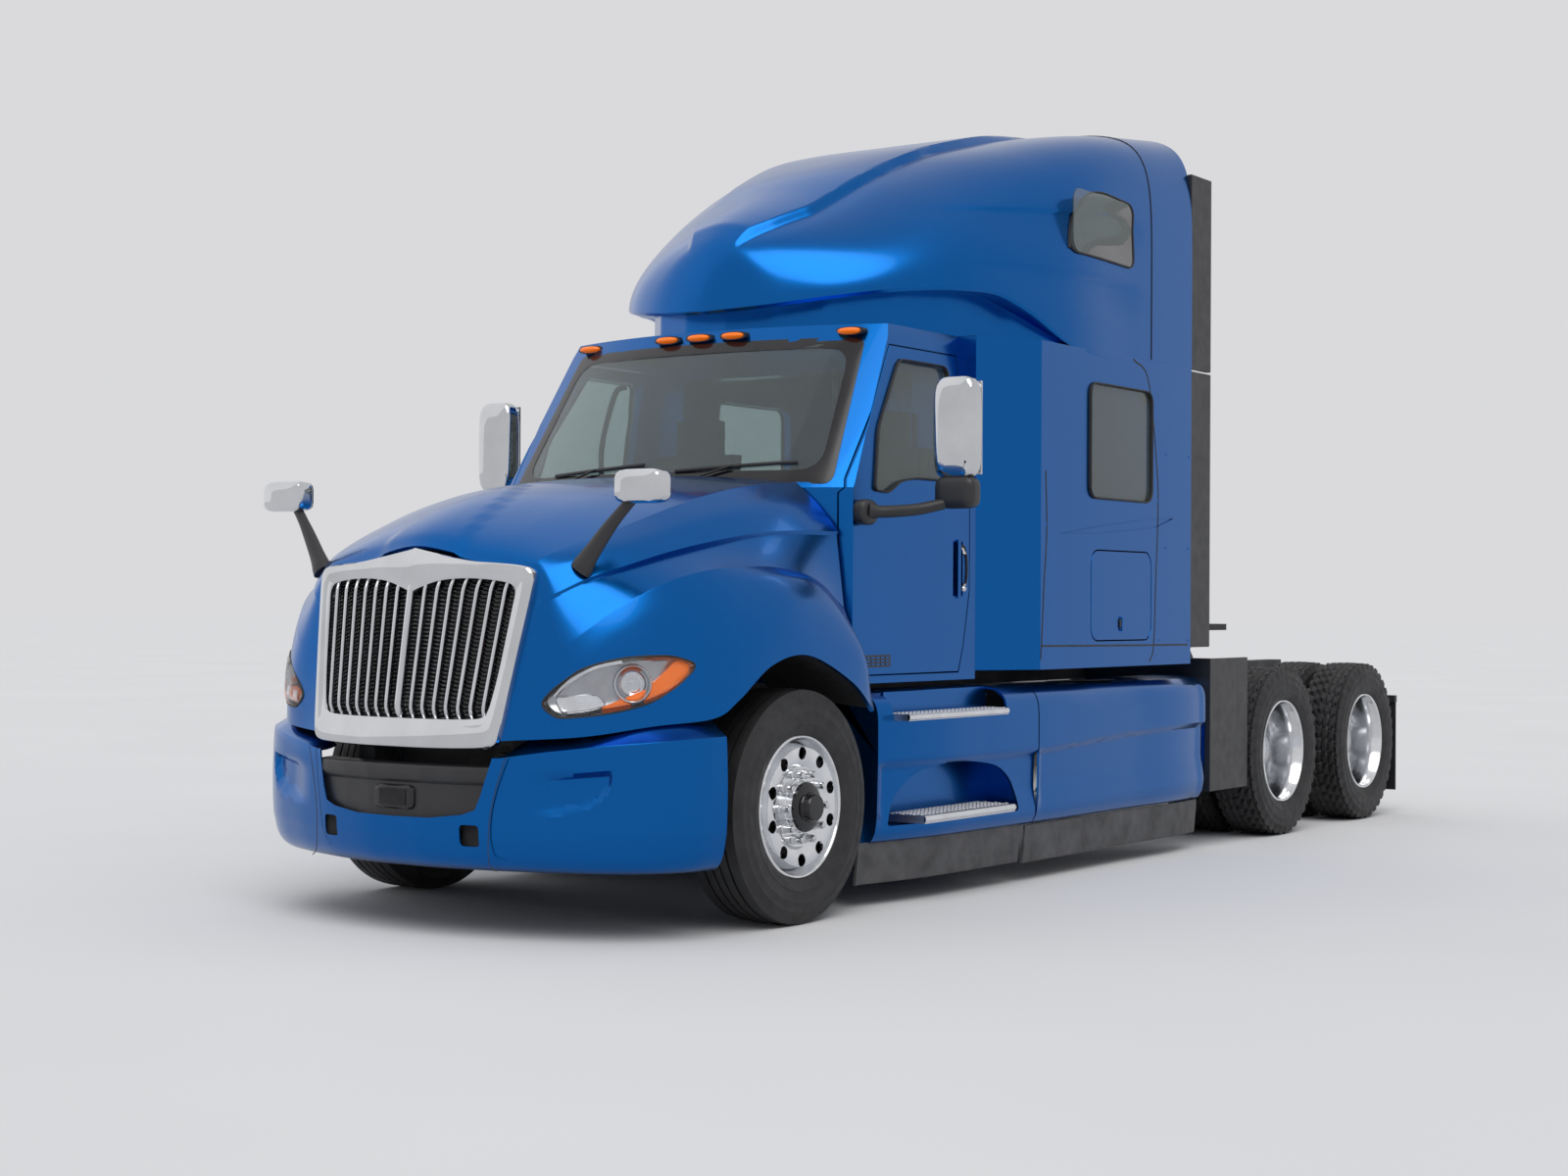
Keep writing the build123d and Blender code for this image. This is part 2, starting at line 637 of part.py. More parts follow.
def moved_in(points, inset):
    """Points of a roughly convex outline pulled towards its middle by inset."""
    cy = sum(p[0] for p in points) / len(points)
    cz = sum(p[1] for p in points) / len(points)
    result = []
    for y, z in points:
        d = sqrt((y - cy)**2 + (z - cz)**2)
        result.append((y - (y - cy) * inset / d, z - (z - cz) * inset / d))
    return result


glass_edge = 0.5
screen_half = 920
screen_span = (1905, 2585)
cab_outer = cab_body(0)
cab_inner = cab_body(wall)
with BuildPart() as screen_prism:
    with BuildSketch(across(fa)):
        with BuildLine():
            Polyline(
                (-screen_half, screen_span[0]), (screen_half, screen_span[0]),
                (screen_half - 80, screen_span[1]),
                (-screen_half + 80, screen_span[1]), (-screen_half, screen_span[0]),
            )
        make_face()
    extrude(amount=-1100)

with BuildPart() as cab_shell:
    add(cab_outer)
    add(cab_inner, mode=Mode.SUBTRACT)
    for side in (1, -1):
        add(door_prism(side, door_gap), mode=Mode.SUBTRACT)
    add(screen_prism.part, mode=Mode.SUBTRACT)
    block((-700, 700), (cab_back - 400, cab_back + 10), (1180, 2520), mode=Mode.SUBTRACT)
save(cab_shell, "cab_shell")

for side, name in ((1, "left"), (-1, "right")):
    with BuildPart() as door:
        add(cab_outer)
        add(cab_inner, mode=Mode.SUBTRACT)
        add(door_prism(side, 0), mode=Mode.INTERSECT)
        add(prism_x(side, window_points), mode=Mode.SUBTRACT)
        # handle recess
        block(both(side, (cab_half - 34, 1200)), (door_back - 150, door_back - 60), (1400, 1660),
            mode=Mode.SUBTRACT)
        block(both(side, (cab_half - 12, cab_half + 10)), (door_back - 118, door_back - 92), (1390, 1670))
    save(door, f"door_{name}")

    with BuildPart() as door_glass:
        add(cab_body(12))
        add(cab_body(12 + glass), mode=Mode.SUBTRACT)
        add(prism_x(side, moved_in(window_points, 2)), mode=Mode.INTERSECT)
    save(door_glass, f"door_glass_{name}")

    with BuildPart() as door_mirror:
        block(both(side, (cab_half + clearance, cab_half + 58)), (fa + 560, fa + 680), (1720, 1820))
        extrude(to_extrude=outline(
            Plane.XY.offset(1760), (side * (cab_half + 30), fa + 600), (side * 1290, fa + 850),
            (side * 1290, fa + 930),
            (side * (cab_half + 30), fa + 670),
        ), amount=50)
        block(both(side, (1270, 1472)), (fa + 860, fa + 965), (1790, 1935))
        block(both(side, (1262, 1480)), (fa + 856, fa + 970), (1925, 2385))
    save(door_mirror, f"door_mirror_{name}")

# ---------------------------------------------------------------- sleeper
hatch_y = (fa + 2550, fa + 3240)
hatch_z = (1180, 1640)
side_window_y = (fa + 2520, fa + 3230)
side_window_z = (1910, 2500)
roof_window_y = (fa + 2345, fa + 3005)
roof_window_z = (3150, 3475)
corner = 70


def sleeper_body(inset):
    """Solid sleeper envelope behind the cab, every face moved in by inset."""
    half, neck = sleeper_half - inset, cab_half - inset
    with BuildPart() as body:
        extrude(to_extrude=outline(
            Plane.XY.offset(sleeper_floor + inset), (-neck, cab_back + clearance + inset),
            (neck, cab_back + clearance + inset), (half, flare_end + inset * 0.3),
            (half, sleeper_back - inset),
            (-half, sleeper_back - inset), (-half, flare_end + inset * 0.3),
        ), amount=roof_seam_z - clearance - sleeper_floor - 2 * inset)
    return body.part


with BuildPart() as sleeper_shell:
    add(sleeper_body(0))
    add(sleeper_body(wall), mode=Mode.SUBTRACT)
    block((-700, 700), (cab_back - 10, cab_back + 200), (1180, 2520), mode=Mode.SUBTRACT)
    block((-1000, 1000), (cab_back + 200, sleeper_back - 120), (2500, 2800), mode=Mode.SUBTRACT)
    # under-bunk locker floor and shelf
    block((-1160, 1160), (hatch_y[0] - 60, sleeper_back - 30), (hatch_z[1] + 40, hatch_z[1] + 70))
    block((-1160, 1160), (hatch_y[0] - 60, hatch_y[0] - 30), (sleeper_floor + 30, hatch_z[1] + 60))
    for side in (1, -1):
        add(rounded_x(side, hatch_y, hatch_z, corner, grow=door_gap), mode=Mode.SUBTRACT)
        add(rounded_x(side, side_window_y, side_window_z, corner), mode=Mode.SUBTRACT)
save(sleeper_shell, "sleeper_shell")

for side, name in ((1, "left"), (-1, "right")):
    with BuildPart() as hatch:
        add(rounded_x(side, hatch_y, hatch_z, corner))
        block(both(side, (sleeper_half - wall, sleeper_half)), hatch_y, hatch_z, mode=Mode.INTERSECT)
        block(both(side, (sleeper_half - 1, sleeper_half + 12)), (fa + 2880, fa + 2905), (1225, 1300))
    save(hatch, f"hatch_{name}")

# ---------------------------------------------------------------- roof cap
# y from the front axle, half width, lower lip, top of the upright side, knee (x, z), crown height
roof_stations = (
    (850, 180, 2765, 2820, 130, 2930, 3010),
    (900, 330, 2775, 2840, 250, 3000, 3110),
    (1050, 600, 2800, 2870, 430, 3050, 3200),
    (1300, 830, 2835, 2890, 560, 3140, 3330),
    (1550, 970, 2860, 2960, 700, 3300, 3480),
    (1930, 1100, 2850, 3200, 850, 3500, 3630),
    (2350, 1190, roof_seam_z, 3420, 980, 3600, 3740),
    (2800, 1200, roof_seam_z, 3640, 1040, 3740, 3850),
    (3200, 1200, roof_seam_z, 3740, 1060, 3850, 3930),
    (3740, 1200, roof_seam_z, 3790, 1060, 3905, 3990),
)
# recessed throat between the cap's lip and the cab roof, x and y from the front axle
throat_plan = ((0, 1010), (480, 1120), (780, 1440), (910, 1760), (990, 2010), (1180, 2350))


def roof_section(row, inset):
    """Cross section of the roof cap at one station."""
    y, half, low, side_top, knee_x, knee_z, crown = row
    half, knee_x = half - inset, knee_x - inset * 0.8
    low, side_top, knee_z, crown = low + inset * 0.6, side_top - inset * 0.3, knee_z - inset * 0.8, crown - inset
    with BuildSketch(across(fa + y)) as sketch:
        with BuildLine():
            Polyline((-knee_x, knee_z), (-half, side_top), (-half, low), (half, low), (half, side_top),
                (knee_x, knee_z))
            ThreePointArc((knee_x, knee_z), (0, crown), (-knee_x, knee_z))
        make_face()
    return sketch.sketch


def roof_body(inset):
    """Solid roof cap envelope lofted through its stations, with its throat below."""
    stations = [list(row) for row in roof_stations]
    if inset:
        stations = stations[2:]
        stations[0][0] += inset
        stations[-1][0] -= inset
    with BuildPart() as body:
        for row in stations:
            add(roof_section(row, inset))
        loft(ruled=True)
        ring = [(x - inset * x / 1200, fa + y + inset) for x, y in throat_plan]
        back = ring + [(ring[-1][0], fa + 2600)]
        loop = back + [(-x, y) for x, y in reversed(back[1:] if ring[0][0] == 0 else back)]
        extrude(to_extrude=outline(Plane.XY.offset(roof_seam_z + inset * 0.6), *loop), amount=240)
    return body.part


with BuildPart() as roof_fairing:
    add(roof_body(0))
    add(roof_body(roof_wall), mode=Mode.SUBTRACT)
    block((-960, 960), (cab_back + 200, sleeper_back - 120), (2600, 2760), mode=Mode.SUBTRACT)
    for side in (1, -1):
        add(rounded_x(side, roof_window_y, roof_window_z, corner), mode=Mode.SUBTRACT)
save(roof_fairing, "roof_fairing")

with BuildPart() as windows:
    add(cab_body(glass_edge))
    add(cab_body(glass_edge + glass), mode=Mode.SUBTRACT)
    with BuildSketch(across(fa)):
        with BuildLine():
            Polyline(
                (-screen_half + 2, screen_span[0] + 1), (screen_half - 2, screen_span[0] + 1),
                (screen_half - 82, screen_span[1] - 1), (-screen_half + 82, screen_span[1] - 1),
                (-screen_half + 2, screen_span[0] + 1),
            )
        make_face()
    extrude(amount=-1100, mode=Mode.INTERSECT)
    for side in (1, -1):
        for y, z in ((side_window_y, side_window_z), (roof_window_y, roof_window_z)):
            with BuildSketch(along(side * (sleeper_half - 10))):
                with Locations(((y[0] + y[1]) / 2, (z[0] + z[1]) / 2)):
                    RectangleRounded(y[1] - y[0] - 2 * glass_edge, z[1] - z[0] - 2 * glass_edge,
                        corner - glass_edge)
            extrude(amount=side * glass)
save(windows, "windows")

extender_end = fa + 4000
with BuildPart() as side_extenders:
    for side in (1, -1):
        for low, high in ((1130, roof_seam_z - 6), (roof_seam_z + 6, 3750)):
            block(both(side, (1166, 1196)), (sleeper_back + clearance, extender_end), (low, high))
save(side_extenders, "side_extenders")

marker_xs = (-776, -196, 0, 196, 776)
with BuildPart() as marker_lamps:
    for x in marker_xs:
        y = fa + 778 + screen_bow * x**2
        block((x - 65, x + 65), (y, y + 70), (2615, 2643))
    add(cab_outer, mode=Mode.SUBTRACT)
save(marker_lamps, "marker_lamps")

# ---------------------------------------------------------------- cab interior
seat_xs = (560, -560)
wheel_centre = (seat_xs[0], fa + 960, 1760)
wheel_tilt = 35            # from horizontal
dash_relief = 90           # from the doors' inner faces to the dashboard's rear corners
column = Plane(origin=wheel_centre, x_dir=(1, 0, 0),
    z_dir=(0, sin(radians(wheel_tilt)), cos(radians(wheel_tilt))))
with BuildPart() as dashboard:
    add(cab_body(wall + clearance))
    block((-2000, 2000), (screen_y + 60, screen_y + 400), (1350, 1800), mode=Mode.INTERSECT)
    with BuildSketch(column.offset(-460)):
        Circle(32)
    extrude(amount=400 - clearance)
    # corners left free for the doors' front edges
    for side in (1, -1):
        block(both(side, (cab_half - wall - dash_relief, cab_half)), (door_front + 40, screen_y + 410),
            (1340, 1810), mode=Mode.SUBTRACT)
save(dashboard, "dashboard")

with BuildPart() as seats:
    for x in seat_xs:
        block((x - 150, x + 150), (fa + 1060, fa + 1360), (floor_z + wall + clearance, 1400))
        block((x - 250, x + 250), (fa + 960, fa + 1480), (1380, 1520))
        extrude(to_extrude=outline(
            along(x - 240), (fa + 1400, 1500), (fa + 1500, 1500), (fa + 1600, 2120), (fa + 1510, 2120),
        ), amount=480)
        block((x - 130, x + 130), (fa + 1530, fa + 1600), (2100, 2300))
    block((-1120, 1120), (hatch_y[0] - 50, sleeper_back - 90), (hatch_z[1] + 72, hatch_z[1] + 240))
save(seats, "seats_and_bunk")

with BuildPart() as steering_wheel:
    with BuildSketch(Plane(origin=wheel_centre, x_dir=column.x_dir, z_dir=-column.y_dir)) as rim_face:
        with Locations((225, 0)):
            Circle(15)
    revolve(axis=Axis(wheel_centre, tuple(column.z_dir)))
    with BuildSketch(column.offset(-22)):
        Circle(60)
        for angle in (0, 90, 180):
            with PolarLocations(130, 1, start_angle=angle):
                Rectangle(180, 34)
    extrude(amount=22)
    with BuildSketch(column.offset(-60)):
        Circle(30)
    extrude(amount=50)
save(steering_wheel, "steering_wheel")

# ---------------------------------------------------------------- hood
# y from the front axle; then (x, z) of bulge edge, shoulder, fender root, fender crown, flare top and lower edge,
# with the centreline height first
hood_stations = (
    (-1320, 1570, (540, 1390), (720, 1270), (840, 1210), (960, 1170), (1160, 1040), (1180, 780)),
    (-900, 1700, (720, 1540), (880, 1400), (960, 1345), (1050, 1303), (1185, 1180), (1205, 780)),
    (-500, 1805, (770, 1740), (970, 1520), (1040, 1462), (1110, 1425), (1198, 1270), (1212, 780)),
    (-100, 1885, (790, 1862), (1000, 1610), (1050, 1500), (1115, 1460), (1200, 1320), (1212, 780)),
    (200, 1925, (805, 1900), (1000, 1640), (1040, 1430), (1110, 1385), (1195, 1255), (1205, 780)),
    (440, 1948, (815, 1922), (1003, 1662), (1035, 1250), (1100, 1210), (1172, 1090), (1180, 780)),
    (640, 1965, (825, 1935), (1006, 1680), (1034, 1080), (1085, 1050), (1122, 960), (1125, 780)),
)
# plan of the nose at the foot of the grille, x and y from the front axle
nose_foot = 780
nose_plan = (
    (0, -1250), (300, -1232), (520, -1192), (700, -1120), (900, -1000), (1060, -830), (1160, -650),
    (1400, -200),
)
# lower edge of hood and upper edge of bumper, rising towards the wheel: y from the front axle, z
hood_edge = ((-1300, 788), (-1200, 795), (-985, 850), (-600, 897))
nose_lean = 10
hood_wall = 22
grille_half = (522, 605)
grille_z = (800, 1460)


def hood_section(row, inset):
    """Cross section of the hood envelope at one station."""
    y, crown = row[0], row[1] - inset
    points = [(x - inset * 0.7, z - inset * 0.8) for x, z in row[2:7]]
    points.append((row[7][0] - inset, row[7][1] - inset))
    with BuildSketch(across(fa + y)) as sketch:
        with BuildLine():
            ThreePointArc((-points[0][0], points[0][1]), (0, crown), points[0])
            Polyline(*points, *[(-x, z) for x, z in reversed(points)])
        make_face()
    return sketch.sketch


def hood_body(inset):
    """Solid hood envelope, nose and lower edge included, with every face moved in by inset."""
    with BuildPart() as body:
        for row in hood_stations:
            add(hood_section(row, inset))
        loft(ruled=True)
        edge = [(fa + y, z) for y, z in hood_edge]
        extrude(to_extrude=outline(along(-1500), *edge, (fa - 600, 700), (fa - 1400, 700), (fa - 1400, 788)),
                amount=3000, mode=Mode.SUBTRACT)
        front = [(x, fa + y + inset) for x, y in nose_plan]
        nose = front + [(1400, fa + 900), (-1400, fa + 900)] + [(-x, y) for x, y in reversed(front[1:])]
        extrude(to_extrude=outline(Plane.XY.offset(nose_foot), *nose), amount=1400, taper=nose_lean,
            mode=Mode.INTERSECT)
        # rear edge follows the foot of the windshield
        with BuildSketch(Plane.XY.offset(700)):
            with BuildLine():
                ThreePointArc(*screen_arc(screen_y - 45, 1300))
                Polyline(
                    (1300, screen_y - 45 + screen_bow * 1300**2), (1300, fa - 1600), (-1300, fa - 1600),
                    (-1300, screen_y - 45 + screen_bow * 1300**2),
                )
            make_face()
        extrude(amount=1500, mode=Mode.INTERSECT)
        # flanks end ahead of the swing of the doors
        for side in (1, -1):
            block(both(side, (1000, 1300)), (door_front - 13, door_front + 200), (door_bottom - 8, 1760),
                mode=Mode.SUBTRACT)
    return body.part


def arch(reach):
    """Wheel arch opening seen from the side, carried across the whole hood."""
    with BuildPart() as body:
        with BuildSketch(along(-1500)):
            with BuildLine():
                Polyline((fa - 640, 600), (fa - 640, 860))
                ThreePointArc((fa - 640, 860), (fa - 330, 1040), (fa - 20, 1088))
                ThreePointArc((fa - 20, 1088), (fa + 250, 1010), (fa + 450, 900))
                Polyline((fa + 450, 900), (fa + 560, 600), (fa - 640, 600))
            make_face()
        extrude(amount=3000)
        block((-reach, reach), (fa - 2000, fa + 2000), (500, 1500), mode=Mode.SUBTRACT)
    return body.part


# headlamp outline: run along the sweep from x = 700, and z
lamp_outline = (
    (10, 925), (45, 895), (110, 890), (250, 915), (420, 975), (560, 1060), (600, 1100), (560, 1140),
    (400, 1158),
    (250, 1145), (120, 1090), (40, 1010),
)
hinge_xs = (-250, 250)
hinge_y = fa - 1215
hinge_z = 757
hood_outer = hood_body(0)
hood_inner = hood_body(hood_wall)
with BuildPart() as lamp_prism:
    for side in (1, -1):
        cheek = Plane(origin=(side * 700, fa - 1120, 0), x_dir=(side * 0.7, 0.714, 0),
            z_dir=(0.714, -side * 0.7, 0))
        extrude(to_extrude=outline(cheek, *lamp_outline), amount=400, both=True)
with BuildPart() as grille_prism:
    extrude(to_extrude=outline(
        across(fa - 1500), (-grille_half[0], grille_z[0] - 60), (-grille_half[1], grille_z[1]),
        (-grille_half[1] + 90, grille_z[1] + 50), (0, grille_z[1] + 80),
        (grille_half[1] - 90, grille_z[1] + 50), (grille_half[1], grille_z[1]),
        (grille_half[0], grille_z[0] - 60),
    ), amount=-480)
with BuildPart() as hood:
    add(hood_outer)
    add(hood_inner, mode=Mode.SUBTRACT)
    add(arch(300), mode=Mode.SUBTRACT)
    add(lamp_prism.part, mode=Mode.SUBTRACT)
    add(grille_prism.part, mode=Mode.SUBTRACT)
    # hinge arms beside the bumper's lugs
    for x in hinge_xs:
        inner = x + (15 + clearance if x > 0 else -15 - clearance - 20)
        block((inner, inner + 20), (hinge_y - 16, hinge_y + 100), (hinge_z - 14, hinge_z + 16))
    block((-650, 650), (hinge_y + 76, hinge_y + 104), (hinge_z + 8, hinge_z + 36))
    for side in (1, -1):
        block(both(side, (600, 650)), (hinge_y + 76, hinge_y + 104), (hinge_z + 8, hinge_z + 84))
save(hood, "hood")

seat_gap = 0.5
with BuildPart() as headlamps:
    add(hood_outer)
    add(hood_inner, mode=Mode.SUBTRACT)
    add(arch(300), mode=Mode.SUBTRACT)
    add(lamp_prism.part, mode=Mode.INTERSECT)
save(headlamps, "headlamps")

with BuildPart() as grille_surround:
    add(hood_outer)
    add(hood_inner, mode=Mode.SUBTRACT)
    add(grille_prism.part, mode=Mode.INTERSECT)
    extrude(to_extrude=outline(
        across(fa - 1500), (-grille_half[0] + 55, grille_z[0] + 45), (-grille_half[1] + 60, grille_z[1] - 60),
        (grille_half[1] - 60, grille_z[1] - 60), (grille_half[0] - 55, grille_z[0] + 45),
    ), amount=-480, mode=Mode.SUBTRACT)
save(grille_surround, "grille_surround")

# ---------------------------------------------------------------- bumper
bumper_z = (265, 900)
bumper_lip = 735
bumper_wall = 40
bumper_plan = (
    (0, -bumper_reach), (300, -1250), (520, -1200), (750, -1120), (950, -1020), (1080, -900), (1170, -760),
    (1205, -600),
)
bumper_edge = ((-1300, bumper_lip), (-1200, 745), (-600, 878))
insert_half = (470, 410)
insert_z = (470, bumper_lip)


def bumper_body(inset, z0, z1):
    """Solid behind the bumper's face, open at its back."""
    front = [(x - inset * (x / 1205), fa + y + inset) for x, y in bumper_plan]
    rear = fa - 500
    loop = front + [(front[-1][0], rear)] + [(-front[-1][0], rear)] + [(-x, y) for x,
        y in reversed(front[1:])]
    return outline(Plane.XY.offset(z0), *loop)


with BuildPart() as front_bumper:
    extrude(to_extrude=bumper_body(0, bumper_z[0], bumper_z[1]), amount=bumper_z[1] - bumper_z[0])
    extrude(to_extrude=bumper_body(bumper_wall, bumper_z[0], bumper_z[1]), amount=bumper_z[1] - bumper_z[0],
            mode=Mode.SUBTRACT)
    edge = [(fa + y, z) for y, z in bumper_edge]
    extrude(to_extrude=outline(along(-1500), *edge, (fa - 400, 878), (fa - 400, 1200), (fa - 1300, 1200)),
            amount=3000, mode=Mode.SUBTRACT)
    extrude(to_extrude=outline(
        across(fa - 1500), (-insert_half[0], 1000), (-insert_half[0], 640),
        (-insert_half[1], insert_z[0] + 40),
        (-insert_half[1] + 60, insert_z[0]), (insert_half[1] - 60, insert_z[0]),
        (insert_half[1], insert_z[0] + 40),
        (insert_half[0], 640), (insert_half[0], 1000),
    ), amount=-400, mode=Mode.SUBTRACT)
    # cut back for the wheels
    extrude(to_extrude=outline(
        along(-1500), (fa - 600, 1000), (fa - 600, 820), (fa - 720, 200), (fa - 400, 200), (fa - 400, 1000),
    ), amount=3000, mode=Mode.SUBTRACT)
    for side in (1, -1):
        with BuildSketch(across(fa - 1500)):
            with Locations((side * tow_x, tow_z)):
                RectangleRounded(70, 60, 14)
        extrude(amount=-420, mode=Mode.SUBTRACT)
        block(both(side, (rail_outer_x - 60, rail_outer_x - 10)), (fa - 1150, rail_front - clearance),
            (560, 720))
    block((-800, 800), (fa - 1165, fa - 1125), (560, 720))
    for x in hinge_xs:
        block((x - 15, x + 15), (hinge_y - 16, hinge_y + 64), (bumper_lip + 7, hinge_z + 16))
        block((x - 15, x + 15), (hinge_y + 30, hinge_y + 64), (700, hinge_z + 16))
    # seams through both edges of each tow hole, so that the panels' convex hulls leave the hole open
    for side in (1, -1):
        for seam_x in (tow_x - tow_seam, tow_x + tow_seam):
            block(both(side, (seam_x, seam_x + clearance)), (fa - 1500, fa - 300), (0, 1200),
                mode=Mode.SUBTRACT)
save(front_bumper, "front_bumper")

with BuildPart() as bumper_insert:
    extrude(to_extrude=bumper_body(12, insert_z[0], insert_z[1]), amount=insert_z[1] - insert_z[0])
    extrude(to_extrude=bumper_body(36, insert_z[0], insert_z[1]), amount=insert_z[1] - insert_z[0],
        mode=Mode.SUBTRACT)
    extrude(to_extrude=outline(
        across(fa - 1500), (-insert_half[0] + seat_gap, 1000), (-insert_half[0] + seat_gap, 640),
        (-insert_half[1] + seat_gap, insert_z[0] + 41), (-insert_half[1] + 61, insert_z[0] + seat_gap),
        (insert_half[1] - 61, insert_z[0] + seat_gap), (insert_half[1] - seat_gap, insert_z[0] + 41),
        (insert_half[0] - seat_gap, 640), (insert_half[0] - seat_gap, 1000),
    ), amount=-400, mode=Mode.INTERSECT)
    block((-75, 75), (fa - 1500, fa - 1100), (525, 665), mode=Mode.SUBTRACT)
save(bumper_insert, "bumper_insert")

bar_xs = [side * (72 + 62 * k) for side in (1, -1) for k in range(7)]
bar_slope = tan(radians(nose_lean))


def nose_y(x, z):
    """Face of the nose at x and z."""
    ax = abs(x)
    for (xa, ya), (xb, yb) in zip(nose_plan, nose_plan[1:]):
        if xa <= ax <= xb:
            return fa + ya + (yb - ya) * (ax - xa) / (xb - xa) + (z - nose_foot) * bar_slope
    return fa


with BuildPart() as grille_bars:
    add(hood_body(hood_wall + clearance))
    add(hood_body(hood_wall + clearance + 10), mode=Mode.SUBTRACT)
    low, high = grille_z[0] + 10, grille_z[1] - 40
    block((-560, 560), (fa - 1500, fa - 900), (low, high), mode=Mode.INTERSECT)
    low, high = grille_z[0] + 50, grille_z[1] - 64
    for x in bar_xs + [0]:
        half = 9 if x else 20
        y0, y1 = nose_y(x, low), nose_y(x, high)
        extrude(to_extrude=outline(
            along(x - half), (y0 + 4, low), (y1 + 4, high), (y1 + 28, high), (y0 + 28, low),
        ), amount=2 * half)
save(grille_bars, "grille_bars")

hood_mirror_y = fa - 886
with BuildPart() as hood_mirrors:
    for side in (1, -1):
        block(both(side, (884, 1113)), (hood_mirror_y - 50, hood_mirror_y + 40), (1751, 1890))
        extrude(to_extrude=outline(
            across(fa - 915), (side * 690, 1430), (side * 770, 1430), (side * 925, 1720), (side * 990, 1752),
            (side * 990, 1780), (side * 900, 1780),
        ), amount=-50)
    add(hood_outer, mode=Mode.SUBTRACT)
save(hood_mirrors, "hood_mirrors")
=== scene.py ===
"""Looks of a highway tractor with a high-roof sleeper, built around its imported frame.

Every table is in metres: x to the vehicle's left, y rearwards from the front axle, z up from the ground.
"""
import json
import math

import bmesh
import bpy
import numpy as np
from mathutils import Matrix, Vector

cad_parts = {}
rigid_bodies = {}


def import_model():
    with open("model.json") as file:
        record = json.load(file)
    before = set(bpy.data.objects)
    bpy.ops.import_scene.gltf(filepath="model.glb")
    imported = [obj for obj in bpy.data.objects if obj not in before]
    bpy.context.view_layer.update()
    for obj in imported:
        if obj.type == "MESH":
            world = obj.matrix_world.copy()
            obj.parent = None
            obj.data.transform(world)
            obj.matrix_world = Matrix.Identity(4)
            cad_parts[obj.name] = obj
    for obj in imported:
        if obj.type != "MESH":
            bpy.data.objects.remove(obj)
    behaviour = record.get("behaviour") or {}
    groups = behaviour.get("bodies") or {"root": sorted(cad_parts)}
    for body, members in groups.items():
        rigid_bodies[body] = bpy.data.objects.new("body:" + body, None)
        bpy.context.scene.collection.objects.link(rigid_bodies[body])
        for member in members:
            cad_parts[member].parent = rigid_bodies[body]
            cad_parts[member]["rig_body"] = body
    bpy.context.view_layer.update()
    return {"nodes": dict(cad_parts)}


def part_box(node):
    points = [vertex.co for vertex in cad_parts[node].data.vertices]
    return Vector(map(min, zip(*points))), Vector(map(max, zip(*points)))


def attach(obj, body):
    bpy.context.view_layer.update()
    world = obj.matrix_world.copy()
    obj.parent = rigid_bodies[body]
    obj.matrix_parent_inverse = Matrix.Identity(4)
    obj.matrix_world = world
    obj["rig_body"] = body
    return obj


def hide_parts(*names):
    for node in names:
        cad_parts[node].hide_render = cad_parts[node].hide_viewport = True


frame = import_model()
NODES = frame["nodes"]


def centre_of(node):
    """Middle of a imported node's box."""
    low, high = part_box(node)
    return (np.array(low) + np.array(high)) / 2


FRONT_AXLE = centre_of("front_wheel_left")[1]
HUB_Z = centre_of("front_wheel_left")[2]
SHIFT = np.array((0, FRONT_AXLE, 0))
MIRROR = np.array((-1, 1, 1))
SIDES = (("left", 1), ("right", -1))


# ------------------------------------------------------------------ shapes

def hermite(count, at, creased=()):
    """Weights that carry a smooth line through count points: a cubic between neighbours, whose slope at a point
    is half the step from the one before to the one after, and nothing at a creased point, which is a corner."""
    at = np.clip(at, 0, count - 1)
    left = np.minimum(at.astype(int), count - 2)
    t = (at - left)[:, None]
    unit = np.eye(count)
    slope = np.gradient(unit, axis=0)
    slope[list(creased)] = 0
    rise = t * t * (3 - 2 * t)
    bend = t * (1 - t) * ((1 - t) * slope[left] - t * slope[left + 1])
    return (1 - rise) * unit[left] + rise * unit[left + 1] + bend


def patch(net, rows, columns, creased_rows=(), creased_columns=()):
    """Sheet through a net of points: the point at (u, v) blends the net's rows by u and its columns by v."""
    net = np.asarray(net, float)
    down = hermite(net.shape[0], np.linspace(0, net.shape[0] - 1, rows), creased_rows)
    across = hermite(net.shape[1], np.linspace(0, net.shape[1] - 1, columns), creased_columns)
    return np.einsum("ri,ijk,cj->rck", down, net, across)


def trace(table, at):
    """Smooth curve through a short table whose first column says where each row holds: cubic between rows,
    with the table's own gradient as its slope."""
    table = np.asarray(table, float)
    knots, values = table[:, 0], table[:, 1:]
    slope = np.gradient(values, knots, axis=0)
    left = np.clip(np.searchsorted(knots, at, side="right") - 1, 0, len(knots) - 2)
    gap = (knots[left + 1] - knots[left])[:, None]
    t = np.clip((at - knots[left])[:, None] / gap, 0, 1)
    rise = t * t * (3 - 2 * t)
    bend = t * (1 - t) * gap * ((1 - t) * slope[left] - t * slope[left + 1])
    return (1 - rise) * values[left] + rise * values[left + 1] + bend


def read(table, at):
    """Second column of a table where its first is at, along straight lines."""
    return np.interp(at, *np.array(table).T)


def ease(x, low, high):
    """Smooth step from 0 at low to 1 at high."""
    t = np.clip((x - low) / (high - low), 0, 1)
    return t * t * (3 - 2 * t)


def stack(*columns):
    """Coordinates as one array of points, each broadcast to the others' shape."""
    return np.stack(np.broadcast_arrays(*columns), -1).astype(float)


def both_halves(net):
    """Net from the middle outwards, widened to the other side by its mirror image."""
    net = np.asarray(net, float)
    return np.concatenate((net[:, :0:-1] * MIRROR, net), 1)


